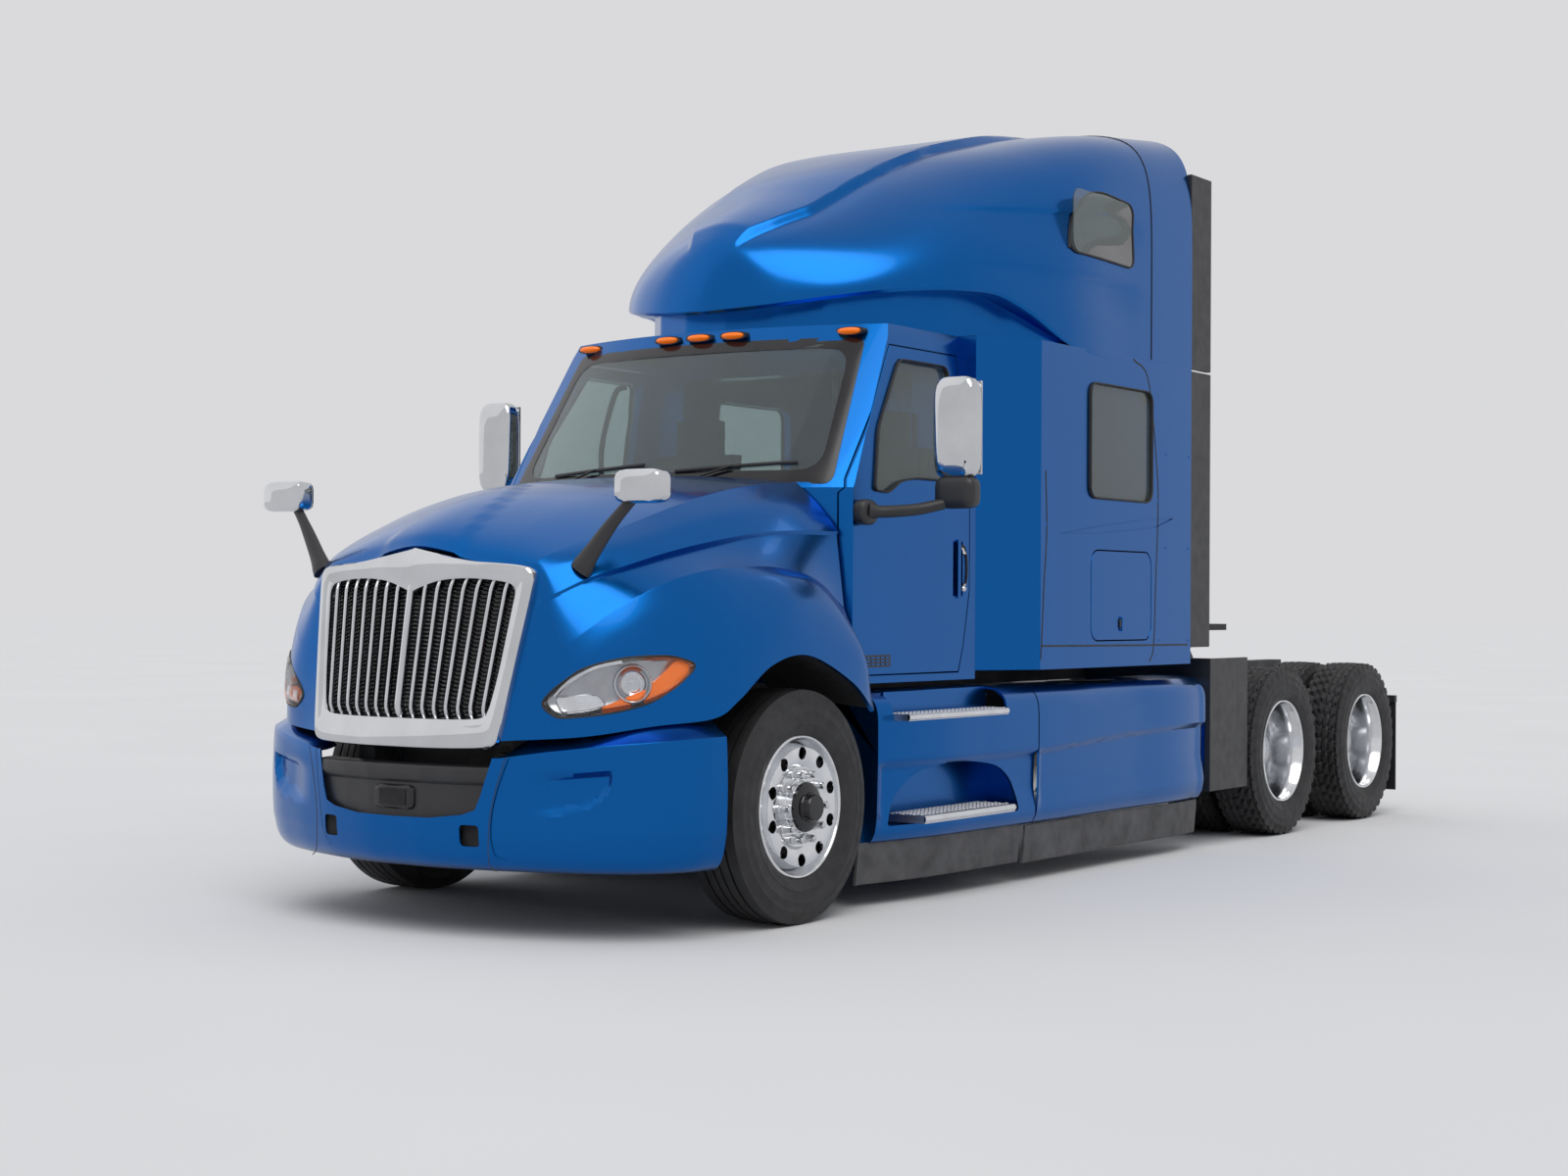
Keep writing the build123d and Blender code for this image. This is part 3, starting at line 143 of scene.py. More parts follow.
def quads(grid, closed=(False, False)):
    """Points and four-sided faces of a grid, wrapped round along the ways in which it closes on itself."""
    rows, columns = grid.shape[:2]
    index = np.arange(rows * columns).reshape(rows, columns)
    if closed[0]:
        index = np.vstack((index, index[:1]))
    if closed[1]:
        index = np.hstack((index, index[:, :1]))
    faces = np.stack((index[:-1, :-1], index[:-1, 1:], index[1:, 1:], index[1:, :-1]), -1)
    return grid.reshape(-1, 3), [faces.reshape(-1, 4)]


def capped(grid):
    """Tube from a grid whose rows are closed loops, with both ends closed by a face."""
    points, faces = quads(grid, (False, True))
    columns = grid.shape[1]
    ends = np.arange(columns)
    return points, faces + [ends[None, ::-1], ends[None] + len(points) - columns]


def joined(parts):
    """Several (points, faces) as one, each part's faces counted on from the last."""
    points, faces, count = [], [], 0
    for part_points, part_faces in parts:
        points.append(part_points)
        faces += [block + count for block in part_faces]
        count += len(part_points)
    return np.concatenate(points), faces


def mirrored(part):
    """A part's mirror image across the middle of the vehicle, its faces turned to point outwards again."""
    return part[0] * MIRROR, [block[:, ::-1] for block in part[1]]


def both(*parts):
    """Parts of the left side, followed by their mirror images."""
    return [*parts, *map(mirrored, parts)]


def sided(part, side):
    """A part of the left side as it is, or its mirror image where side is -1."""
    return part if side > 0 else mirrored(part)


def circle(count, start=0.0, turn=2 * math.pi):
    """Angles round a circle, its end left out where it closes."""
    return start + turn * np.arange(count) / count


def turned(profile, centre, axis=(1, 0, 0), steps=48):
    """Surface of revolution: each (radius, advance) of the profile goes round the axis through the centre."""
    axis = np.array(axis, float) / np.linalg.norm(axis)
    side = np.cross(axis, (0, 0, 1) if abs(axis[2]) < 0.9 else (1, 0, 0))
    side /= np.linalg.norm(side)
    other = np.cross(axis, side)
    angle = circle(steps)[None, :, None]
    radius, advance = np.asarray(profile, float).T[:, :, None, None]
    ring = np.cos(angle) * side + np.sin(angle) * other
    return quads(np.asarray(centre, float) + radius * ring + advance * axis, (False, True))


def spun(profile, centre, side, steps=48, out=0.0):
    """Profile of (radius, distance outwards) turned about an axle, its distances counted on from out."""
    return turned((np.array(profile) + (0, out)) * (1, side), centre, (1, 0, 0), steps)


def rounded(corners, radius, steps=6):
    """Closed outline with each corner replaced by a parabola that leaves its sides a radius away."""
    corners = np.asarray(corners, float)
    radius = np.broadcast_to(radius, len(corners))[:, None]
    before, after = np.roll(corners, 1, 0) - corners, np.roll(corners, -1, 0) - corners
    start = corners + before / np.linalg.norm(before, axis=1, keepdims=True) * radius
    end = corners + after / np.linalg.norm(after, axis=1, keepdims=True) * radius
    t = np.linspace(0, 1, steps)[None, :, None]
    curve = (1 - t) ** 2 * start[:, None] + 2 * t * (1 - t) * corners[:, None] + t * t * end[:, None]
    return curve.reshape(-1, corners.shape[1])


def dense(loop, per_side=4):
    """Closed outline with each side divided into equal steps."""
    t = np.arange(per_side)[None, :, None] / per_side
    return (loop[:, None] * (1 - t) + np.roll(loop, -1, 0)[:, None] * t).reshape(-1, loop.shape[1])


def carried(section, path, up=(0, 0, 1), grow=1.0):
    """Section (sideways, upwards) carried along a path: at each point it stands square to the path's direction,
    with its upward side as near to up as it can be, and is scaled by grow."""
    path, section = np.asarray(path, float), np.asarray(section, float)
    ahead = np.gradient(path, axis=0)
    ahead /= np.linalg.norm(ahead, axis=1, keepdims=True)
    side = np.cross(ahead, np.asarray(up, float))
    side /= np.linalg.norm(side, axis=1, keepdims=True)
    rise = np.cross(side, ahead)
    size = np.broadcast_to(grow, len(path))[:, None, None]
    return path[:, None] + size * (section[None, :, :1] * side[:, None] + section[None, :, 1:] * rise[:, None])


def rod(*carry):
    """Section carried along a path as carried does it, with both ends closed."""
    return capped(carried(*carry))


def oval(half_wide, half_tall, count=16, power=2.0):
    """Superellipse: |x / half_wide|^power + |y / half_tall|^power = 1."""
    angle = circle(count)
    wave = np.stack((np.cos(angle), np.sin(angle)), 1)
    return np.sign(wave) * np.abs(wave) ** (2 / power) * (half_wide, half_tall)


def rimmed(section, loop, up=(0, 0, 1)):
    """Section (sideways, upwards) carried round a closed loop, as carried does along an open path."""
    loop, section = np.asarray(loop, float), np.asarray(section, float)
    ahead = np.roll(loop, -1, 0) - np.roll(loop, 1, 0)
    side = np.cross(ahead, np.asarray(up, float))
    side /= np.linalg.norm(side, axis=1, keepdims=True)
    rise = np.cross(side, ahead)
    rise /= np.linalg.norm(rise, axis=1, keepdims=True)
    grid = loop[:, None] + section[None, :, :1] * side[:, None] + section[None, :, 1:] * rise[:, None]
    return quads(grid, (True, True))


def smooth_path(points, count):
    """Smooth line through a few points."""
    points = np.asarray(points, float)
    return hermite(len(points), np.linspace(0, len(points) - 1, count)) @ points


def prism(loop, step):
    """Solid between a flat outline and the same outline carried by a step."""
    loop = np.asarray(loop, float)
    return capped(np.stack((loop, loop + step)))


def slab(low, high):
    """Box between two corners, as a rectangle carried upwards."""
    (x0, y0, z0), (x1, y1, z1) = low, high
    return prism([(x0, y0, z0), (x1, y0, z0), (x1, y1, z0), (x0, y1, z0)], (0, 0, z1 - z0))


def puffed(low, high, power=4.0, rows=20, columns=36, lean=(0, 0)):
    """Rounded block |x/a|^n + |y/b|^n + |z/c|^n = 1, its rows leaning with height."""
    low, high = np.asarray(low, float), np.asarray(high, float)
    up = np.linspace(-math.pi / 2, math.pi / 2, rows)[:, None]
    round_ = circle(columns)[None]
    way = stack(np.cos(up) * np.cos(round_), np.cos(up) * np.sin(round_), np.sin(up))
    radius = (np.abs(way) ** power).sum(-1, keepdims=True) ** (-1 / power)
    unit = way * radius
    points = (low + high) / 2 + unit * (high - low) / 2
    points[..., :2] += unit[..., 2:] * np.asarray(lean)
    return quads(points, (False, True))


def band(outer, inner, profile, normal):
    """Ring between two matching outlines: each (share, lift) of the profile lies that share of the way from the
    outer outline to the inner, and lifted along the normal."""
    share, lift = np.asarray(profile, float).T[:, :, None, None]
    return quads(outer + (inner - outer) * share + np.asarray(normal, float) * lift, (False, True))


# ------------------------------------------------------------------ pieces

def mesh_of(name, parts, merge=False):
    """Mesh of the given parts. Where merge is set, doubles are merged and its faces turned to point outwards."""
    points, faces = joined(parts)
    data = bpy.data.meshes.new(name)
    data.from_pydata((points + SHIFT).tolist(), [], [face for block in faces for face in block.tolist()])
    if merge:
        work = bmesh.new()
        work.from_mesh(data)
        bmesh.ops.remove_doubles(work, verts=work.verts, dist=1e-5)
        bmesh.ops.recalc_face_normals(work, faces=work.faces)
        work.to_mesh(data)
        work.free()
    return data


def placed(name, data):
    """New object in the scene."""
    obj = bpy.data.objects.new(name, data)
    bpy.context.scene.collection.objects.link(obj)
    return obj


def bevelled(obj, width, angle):
    """Gives an object a bevel along the edges sharper than an angle in degrees."""
    edge = obj.modifiers.new("edge", "BEVEL")
    edge.width, edge.segments, edge.limit_method, edge.angle_limit = width, 2, "ANGLE", math.radians(angle)
    return edge


def settle(obj, sharp):
    """Applies what modifiers an object has, and shades it smooth apart from edges sharper than an angle."""
    if obj.modifiers:
        graph = bpy.context.evaluated_depsgraph_get()
        obj.data = bpy.data.meshes.new_from_object(obj.evaluated_get(graph))
        obj.modifiers.clear()
    obj.data.shade_smooth()
    obj.data.set_sharp_from_angle(angle=math.radians(sharp))


def piece(name, body, material, *parts, wall=0.0, sharp=32, merge=False, cuts=(), replaces=()):
    """Piece made of parts: given a wall towards its inside, then cut by solids."""
    obj = placed(name, mesh_of(name, parts, merge))
    obj.data.materials.append(material)
    if wall:
        solid = obj.modifiers.new("wall", "SOLIDIFY")
        solid.thickness, solid.offset, solid.use_even_offset = wall, -1, False
    tools = []
    for cut in cuts:
        tool = placed("cut", mesh_of("cut", [cut], True))
        hole = obj.modifiers.new("cut", "BOOLEAN")
        hole.operation, hole.solver, hole.object = "DIFFERENCE", "MANIFOLD", tool
        tools.append(tool)
    bpy.context.view_layer.update()
    settle(obj, sharp)
    for tool in tools:
        bpy.data.objects.remove(tool)
    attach(obj, body)
    if replaces:
        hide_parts(*replaces)
    return obj


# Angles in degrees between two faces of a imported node: below the first they are made one, above the second
# their edge is bevelled, and above the third they are shaded apart
WHOLE_ANGLE, BEVEL_ANGLE, FLAT_ANGLE = 0.5, 28, 14


def softened(node, material, width):
    """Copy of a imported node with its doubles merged, its flat faces whole again and its edges bevelled."""
    source = NODES[node]
    data = source.data.copy()
    work = bmesh.new()
    work.from_mesh(data)
    bmesh.ops.remove_doubles(work, verts=work.verts, dist=2e-5)
    bmesh.ops.dissolve_limit(work, angle_limit=math.radians(WHOLE_ANGLE), verts=work.verts, edges=work.edges)
    work.to_mesh(data)
    work.free()
    if "custom_normal" in data.attributes:
        data.attributes.remove(data.attributes["custom_normal"])
    obj = placed(node + "_softened", data)
    data.materials.clear()
    data.materials.append(material)
    bevelled(obj, width, BEVEL_ANGLE).use_clamp_overlap = True
    bpy.context.view_layer.update()
    settle(obj, FLAT_ANGLE)
    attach(obj, source["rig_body"])
    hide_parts(node)
    return obj


# ------------------------------------------------------------------ finishes

class Finish:
    """Material with the shader's constant sockets set, and helpers that add noise to its colour, gloss and bump."""

    def __init__(self, name, colour, roughness, metallic=0.0, **sockets):
        self.material = bpy.data.materials.new(name)
        self.material.use_nodes = True
        self.tree = self.material.node_tree
        self.shader = self.tree.nodes["Principled BSDF"]
        self.set("Base Color", (*colour, 1))
        self.set("Roughness", roughness)
        self.set("Metallic", metallic)
        for socket, value in sockets.items():
            self.set(socket.replace("_", " "), value)
        self.place = self.node("ShaderNodeTexCoord").outputs["Object"]

    def node(self, kind, **values):
        """New node with its settings."""
        made = self.tree.nodes.new(kind)
        for name, value in values.items():
            setattr(made, name, value)
        return made

    def set(self, socket, value):
        """Sets one of the shader's sockets."""
        self.shader.inputs[socket].default_value = value

    def link(self, output, target):
        """Feeds a socket from an output."""
        self.tree.links.new(output, target)

    def stretched(self, scale):
        """Object coordinates scaled by three factors."""
        mapping = self.node("ShaderNodeMapping")
        mapping.inputs["Scale"].default_value = scale
        self.link(self.place, mapping.inputs["Vector"])
        return mapping.outputs["Vector"]

    def noise(self, scale, detail=3.0, stretch=None):
        """Fractal noise over the object's own coordinates, 0 to 1."""
        made = self.node("ShaderNodeTexNoise")
        made.inputs["Scale"].default_value = scale
        made.inputs["Detail"].default_value = detail
        self.link(self.stretched(stretch) if stretch else self.place, made.inputs["Vector"])
        return made.outputs["Fac"]

    def range(self, source, low, high, start=0.3, end=0.7):
        """Carries a source from start..end to low..high."""
        made = self.node("ShaderNodeMapRange")
        for name, value in (("From Min", start), ("From Max", end), ("To Min", low), ("To Max", high)):
            made.inputs[name].default_value = value
        self.link(source, made.inputs["Value"])
        return made.outputs["Result"]

    def ramp(self, source, *stops):
        """Colour by place on a scale of (position, colour)."""
        made = self.node("ShaderNodeValToRGB")
        ramp = made.color_ramp
        for (position, colour), stop in zip(stops, (ramp.elements[0], ramp.elements[1])):
            stop.position, stop.color = position, (*colour, 1)
        for position, colour in stops[2:]:
            ramp.elements.new(position).color = (*colour, 1)
        self.link(source, made.inputs["Fac"])
        return made.outputs["Color"]

    def colour(self, source):
        """Feeds the colour."""
        self.link(source, self.shader.inputs["Base Color"])
        return self

    def gloss(self, source):
        """Feeds the roughness."""
        self.link(source, self.shader.inputs["Roughness"])
        return self

    def bump(self, source, strength, distance):
        """Adds a bump, on top of any that is there."""
        made = self.node("ShaderNodeBump")
        made.inputs["Strength"].default_value = strength
        made.inputs["Distance"].default_value = distance
        self.link(source, made.inputs["Height"])
        if self.shader.inputs["Normal"].is_linked:
            self.link(self.shader.inputs["Normal"].links[0].from_socket, made.inputs["Normal"])
        self.link(made.outputs["Normal"], self.shader.inputs["Normal"])
        return self


def body_paint():
    """Deep metallic blue under a clear coat, with fine flake and the coat's faint ripple."""
    f = Finish("body_paint", (0.001, 0.10, 0.38), 0.24, 0.95, Coat_Weight=0.22, Coat_Roughness=0.015, Coat_IOR=1.35)
    flake = f.noise(2600, 1.0)
    f.colour(f.ramp(flake, (0.3, (0.0005, 0.082, 0.315)), (0.62, (0.0015, 0.125, 0.430))))
    f.gloss(f.range(f.noise(1.2), 0.21, 0.27))
    return f.bump(f.noise(90, 1.0), 0.02, 0.001).material


def metal(name, colour, low, high, scale=3.0, stretch=None, strength=0.0, grain=200.0, metallic=1.0):
    """Metal whose gloss drifts over its surface, with a fine grain."""
    f = Finish(name, colour, (low + high) / 2, metallic)
    f.gloss(f.range(f.noise(scale, 4.0, stretch), low, high))
    dark = tuple(c * 0.86 for c in colour)
    f.colour(f.ramp(f.noise(scale * 2.3, 4.0, stretch), (0.3, dark), (0.7, colour)))
    if strength:
        f.bump(f.noise(grain, 2.0), strength, 0.0015)
    return f.material


def plastic(name, colour, roughness, grain=350.0, strength=0.12, **sockets):
    """Moulded plastic with a pebbled skin and slightly uneven gloss."""
    f = Finish(name, colour, roughness, **sockets)
    pale = tuple(min(1.0, c * 1.35 + 0.003) for c in colour)
    f.colour(f.ramp(f.noise(5.0, 5.0), (0.32, colour), (0.72, pale)))
    f.gloss(f.range(f.noise(14.0), roughness * 0.85, min(1.0, roughness * 1.15)))
    return f.bump(f.noise(grain, 2.0), strength, 0.0012).material


def rubber(name, colour, roughness):
    """Tyre rubber, greyed a little in patches, with a fine matt grain."""
    f = Finish(name, colour, roughness)
    f.colour(f.ramp(f.noise(9.0, 6.0), (0.3, colour), (0.75, tuple(c * 1.9 + 0.006 for c in colour))))
    f.gloss(f.range(f.noise(20.0, 4.0), roughness - 0.1, roughness + 0.08))
    return f.bump(f.noise(420.0, 2.0), 0.18, 0.001).material


def lens(name, colour, roughness=0.05, transmission=0.85, ior=1.49, scale=240.0, strength=0.1, **sockets):
    """Moulded lens, clear or coloured through, with fine optics on its inner side."""
    f = Finish(name, colour, roughness, Transmission_Weight=transmission, IOR=ior, **sockets)
    f.colour(f.ramp(f.noise(30.0), (0.2, tuple(c * 0.9 for c in colour)), (0.8, colour)))
    if strength:
        f.bump(f.noise(scale, 1.0), strength, 0.001)
    return f.material


PAINT = body_paint()
CHROME = metal("chrome", (0.66, 0.67, 0.69), 0.02, 0.06, 2.0)
POLISHED = metal("polished_aluminium", (0.80, 0.81, 0.83), 0.10, 0.20, 6.0, None, 0.03, 700.0)
TREAD_PLATE = metal("brushed_aluminium", (0.66, 0.67, 0.69), 0.26, 0.42, 8.0, (0.15, 6, 1), 0.05, 400.0)
STEEL = metal("chassis_black", (0.030, 0.031, 0.034), 0.38, 0.58, 6.0, None, 0.12, 160.0, 0.25)
CASTING = metal("cast_iron", (0.055, 0.055, 0.058), 0.5, 0.72, 12.0, None, 0.35, 90.0, 0.4)
TRIM = plastic("black_trim", (0.014, 0.014, 0.016), 0.42)
GLOSSY_TRIM = plastic("black_gloss", (0.006, 0.006, 0.008), 0.12, 60.0, 0.02)
SEAL = plastic("seal_rubber", (0.012, 0.012, 0.013), 0.6, 500.0, 0.1)
TYRE = rubber("tyre_rubber", (0.009, 0.009, 0.010), 0.62)
SKIRT = rubber("skirt_rubber", (0.055, 0.055, 0.058), 0.7)
# Cab interior: dark plastic and lining, both darkened further as painted shade inside the cab
SHADED_CABIN = plastic("cabin_plastic_shaded", (0.030, 0.031, 0.034), 0.6, 260.0, 0.3)
SHADED_LINING = plastic("cabin_lining_shaded", (0.040, 0.040, 0.042), 0.75, 180.0, 0.3)
GLASS = lens("window_glass", (0.50, 0.60, 0.60), 0.01, 0.92, 1.40, 2.0, 0.004)
DARK_GLASS = plastic("tinted_glass", (0.020, 0.021, 0.023), 0.04, 3.0, 0.004, Coat_Weight=1.0, Coat_IOR=1.8)
CLEAR = lens("clear_lens", (0.97, 0.98, 1.0), 0.02, 0.98, 1.3, 60.0, 0.01)
AMBER = lens("amber_lens", (1.0, 0.21, 0.008), 0.12, 0.05,
             Emission_Strength=0.25, Emission_Color=(1.0, 0.16, 0.0, 1))
RED = lens("red_lens", (0.75, 0.02, 0.02), 0.12, 0.35)
SHADE = plastic("dark_recess", (0.006, 0.006, 0.007), 0.85, 300.0, 0.05)


# ------------------------------------------------------------------ hood

# Rows from the cowl to the grille; across each, from the middle: crown, quarter, bulge crease, upper side,
# step and its foot, fender root, fender shoulder, crest, side and the lip of the wheel arch.
HOOD_NET = (
    ((0, .295, 1.940), (.45, .340, 1.930), (.815, .440, 1.900), (.915, .470, 1.800), (1.000, .500, 1.680),
     (.992, .500, 1.662), (1.030, .503, 1.345), (1.085, .504, 1.200), (1.140, .505, 1.060), (1.172, .520, .930),
     (1.195, .500, .890)),
    ((0, .15, 1.930), (.45, .18, 1.915), (.806, .22, 1.885), (.915, .22, 1.790), (.988, .22, 1.677),
     (.978, .22, 1.660), (1.045, .24, 1.470), (1.100, .28, 1.415), (1.155, .34, 1.290), (1.188, .40, 1.150),
     (1.205, .31, 1.020)),
    ((0, -.05, 1.915), (.44, -.05, 1.895), (.788, -.05, 1.847), (.895, -.05, 1.765), (.968, -.05, 1.660),
     (.958, -.05, 1.643), (1.046, -.02, 1.510), (1.100, -.02, 1.465), (1.158, -.02, 1.370), (1.192, -.02, 1.250),
     (1.204, -.02, 1.140)),
    ((0, -.35, 1.882), (.42, -.34, 1.850), (.760, -.33, 1.778), (.865, -.33, 1.710), (.937, -.33, 1.620),
     (.927, -.33, 1.603), (1.038, -.33, 1.508), (1.085, -.32, 1.450), (1.145, -.31, 1.330), (1.182, -.30, 1.215),
     (1.198, -.28, 1.105)),
    ((0, -.60, 1.833), (.40, -.59, 1.785), (.722, -.58, 1.698), (.820, -.58, 1.645), (.895, -.58, 1.570),
     (.885, -.58, 1.553), (1.015, -.57, 1.480), (1.060, -.56, 1.400), (1.115, -.55, 1.270), (1.155, -.53, 1.100),
     (1.185, -.50, .965)),
    ((0, -.80, 1.772), (.37, -.79, 1.720), (.682, -.78, 1.630), (.775, -.78, 1.585), (.845, -.78, 1.515),
     (.836, -.78, 1.498), (.960, -.78, 1.415), (1.005, -.77, 1.330), (1.050, -.76, 1.190), (1.095, -.73, 1.030),
     (1.150, -.625, .895)),
    ((0, -.97, 1.700), (.34, -.96, 1.650), (.618, -.95, 1.570), (.695, -.95, 1.528), (.760, -.95, 1.455),
     (.752, -.95, 1.438), (.865, -.95, 1.310), (.905, -.945, 1.225), (.945, -.93, 1.110), (.975, -.91, .985),
     (1.020, -.85, .868)),
    ((0, -1.08, 1.635), (.31, -1.06, 1.590), (.580, -1.03, 1.530), (.635, -1.04, 1.475), (.672, -1.055, 1.390),
     (.665, -1.06, 1.372), (.735, -1.08, 1.180), (.765, -1.08, 1.090), (.785, -1.075, 1.000), (.800, -1.07, .920),
     (.825, -1.055, .828)),
    ((0, -1.135, 1.575), (.30, -1.105, 1.525), (.560, -1.060, 1.490), (.575, -1.07, 1.440), (.570, -1.085, 1.350),
     (.567, -1.09, 1.330), (.545, -1.125, 1.130), (.535, -1.14, 1.040), (.525, -1.155, .960), (.515, -1.165, .890),
     (.505, -1.18, .805)),
)
HOOD_WALL = 0.018
RIDGE = ((-1.25, .25), (-1.0, .214), (-.8, .162), (-.6, .087), (-.42, 0))
RIDGE_RISE = 0.012


def hood_skin():
    """Hood as one sheet through its net and the net's mirror image, its middle raised inside two ridges that
    run together towards the cowl: lift = rise * ease(half-width - |x|)."""
    skin = patch(both_halves(HOOD_NET), 110, 221, (), (4, 5, 6, 8, 12, 14, 15, 16))
    half = read(RIDGE, skin[..., 1])
    skin[..., 2] += RIDGE_RISE * ease(half - np.abs(skin[..., 0]), 0, 0.03) * ease(skin[..., 2], 1.45, 1.55)
    return skin


HOOD = hood_skin()

# Lamp outline and what is in it: (run, z), run measured along the swept cheek from LAMP_ROOT
LAMP_ROOT = np.array((0.70, -1.12))
LAMP_RUN = np.array((0.70, 0.714))
LAMP_OUT = np.array((0.714, -0.70))
LAMP_OUTLINE = (
    (-.018, .950), (.001, .990), (.060, 1.045), (.138, 1.097), (.292, 1.137), (.458, 1.148), (.543, 1.134),
    (.589, 1.108), (.549, 1.053), (.474, .998), (.374, .953), (.224, .919), (.070, .902), (.020, .912),
)


def cheek_terms(run, w):
    """Terms of the cheek's sheet: 1, r, w, r^2, r w, w^2, r^3 and r^2 w, for the run r and w = z - 1."""
    return 1, run, w, run * run, run * w, w * w, run ** 3, run * run * w


def cheek_fit():
    """Sheet depth(run, z) fitted by least squares to the hood's skin round the lamp."""
    half = HOOD[:, HOOD.shape[1] // 2:].reshape(-1, 3)
    flat = half[:, :2] - LAMP_ROOT
    run, depth, z = flat @ LAMP_RUN, flat @ LAMP_OUT, half[:, 2]
    near = (run > -0.06) & (run < 0.66) & (z > 0.84) & (z < 1.22) & (depth > -0.2)
    terms = np.broadcast_arrays(*cheek_terms(run[near], z[near] - 1))
    return np.linalg.lstsq(np.stack(terms, 1), depth[near], rcond=None)[0]


CHEEK = cheek_fit()


def on_cheek(run, z, lift=0.0):
    """Point of the cheek at (run, z), lifted outwards."""
    depth = sum(c * t for c, t in zip(CHEEK, cheek_terms(run, z - 1))) + lift
    return stack(LAMP_ROOT[0] + run * LAMP_RUN[0] + depth * LAMP_OUT[0],
                 LAMP_ROOT[1] + run * LAMP_RUN[1] + depth * LAMP_OUT[1], z)


def lamp_loop(points, steps=8):
    """Closed smooth outline through points on the cheek: a cubic through them, wrapped round."""
    points = np.asarray(points, float)
    wrapped = np.concatenate((points[-2:], points, points[:3]))
    at = np.linspace(2, len(points) + 2, steps * len(points), endpoint=False)
    return hermite(len(wrapped), at) @ wrapped


def lamp_dish(loop, shares, lifts):
    """Sheet inside an outline: rings at shares of the way from its middle to its edge, each with its lift."""
    middle = loop.mean(0)
    shares, lifts = np.asarray(shares)[:, None], np.asarray(lifts)[:, None]
    run = middle[0] + (loop[None, :, 0] - middle[0]) * shares
    z = middle[1] + (loop[None, :, 1] - middle[1]) * shares
    return quads(on_cheek(run, z, lifts), (False, True))


LAMP = lamp_loop(LAMP_OUTLINE)


# Opening for a lamp: its outline carried through the cheek
LAMP_HOLE = prism(on_cheek(LAMP[:, 0], LAMP[:, 1], 0.05), -np.array((*LAMP_OUT, 0)) * 0.3)
piece("hood_panel", "hood", PAINT, quads(HOOD[::-1]), wall=HOOD_WALL, replaces=("hood",),
      cuts=both(LAMP_HOLE))


def arch_liner():
    """Dark liner under the fender: each ring of the arch is the lip's own line, carried inboard and a little up."""
    lip = HOOD[:, -1]
    inboard = np.linspace(0, 1, 8)[:, None]
    x = lip[None, :, 0] * (1 - 0.45 * inboard) - 0.01
    z = lip[None, :, 2] + 0.012 + 0.05 * ease(inboard, 0, 1)
    grid = stack(x, lip[None, :, 1], np.maximum(z, 0.80))
    return quads(grid[:, (lip[:, 1] > -1.0) & (lip[:, 2] > 0.83)])


piece("arch_liners", "hood", SHADE, *both(arch_liner()))


# ------------------------------------------------------------------ roof cap

# y, half-width at the lip, lip height, crown height, squareness of the section
ROOF = (
    (.830, .00, 2.760, 2.800, 1.8), (.850, .19, 2.768, 2.990, 1.8), (.880, .30, 2.776, 3.080, 1.8),
    (.950, .45, 2.795, 3.145, 1.8), (1.05, .60, 2.820, 3.205, 1.8), (1.33, .85, 2.870, 3.355, 1.85),
    (1.60, 1.00, 2.890, 3.500, 2.05), (1.85, 1.08, 2.880, 3.600, 2.5), (2.00, 1.12, 2.830, 3.652, 2.9),
    (2.35, 1.19, 2.678, 3.745, 4.2), (3.00, 1.20, 2.676, 3.890, 7.0), (3.74, 1.20, 2.676, 3.985, 8.0),
)
# Half-width of the teardrop on the crown: y, x
TEARDROP = ((.86, 0), (.90, .15), (1.06, .25), (1.25, .35), (1.60, .42), (2.00, .47), (2.44, .50), (3.74, .52))
# Lip y against the foot of the throat behind it: x, y
THROAT = ((.83, 0, 1.01), (.88, .26, 1.04), (1.05, .50, 1.14), (1.33, .74, 1.40), (1.60, .87, 1.66),
          (1.85, .94, 1.86), (2.00, .99, 2.01), (2.35, 1.17, 2.35), (3.74, 1.18, 3.74))


def roof_skin(rows=110, columns=261):
    """Roof cap: at each y a half superellipse over its lip, |x / half|^n + |(z - lip) / rise|^n = 1, drawn by its
    direction angle a at the radius (|cos a|^n + |sin a|^n)^(-1/n). Rows go back as the square of their share,
    which rounds the front. A teardrop stands proud of the crown, and two folds run back along each side."""
    table = np.array(ROOF)
    front, back = table[0, 0], table[-1, 0]
    share = np.linspace(0, 1, rows)
    table[:, 0] = np.sqrt((table[:, 0] - front) / (back - front))
    half, lip, crown, power = trace(table, share).T[:, :, None]
    y = front + (back - front) * share[:, None] ** 2
    angle = np.linspace(0, math.pi, columns)[None]
    wave_x, wave_z = np.abs(np.cos(angle)), np.abs(np.sin(angle))
    radius = (wave_x ** power + wave_z ** power) ** (-1 / power)
    x, z = -half * radius * np.cos(angle), lip + (crown - lip) * radius * wave_z
    edge = read(TEARDROP, y)
    z += 0.042 * ease(edge - np.abs(x), -0.004, 0.028) * ease(y, 0.87, 0.98) * (1 - ease(y, 2.5, 3.5))
    for foot, climb, deep in ((3.30, 0.06, 0.016), (3.02, 0.015, 0.014)):
        line = foot + climb * (y - 1.6)
        across = ease(line - z, -0.012, 0.012) * ease(y, 1.45, 2.1) * (1 - ease(line - z, 0.02, 0.26))
        x *= 1 - deep * across * (1 - ease(y, 2.7, 3.2))
    return stack(x, y, z)


ROOF_SKIN = roof_skin()


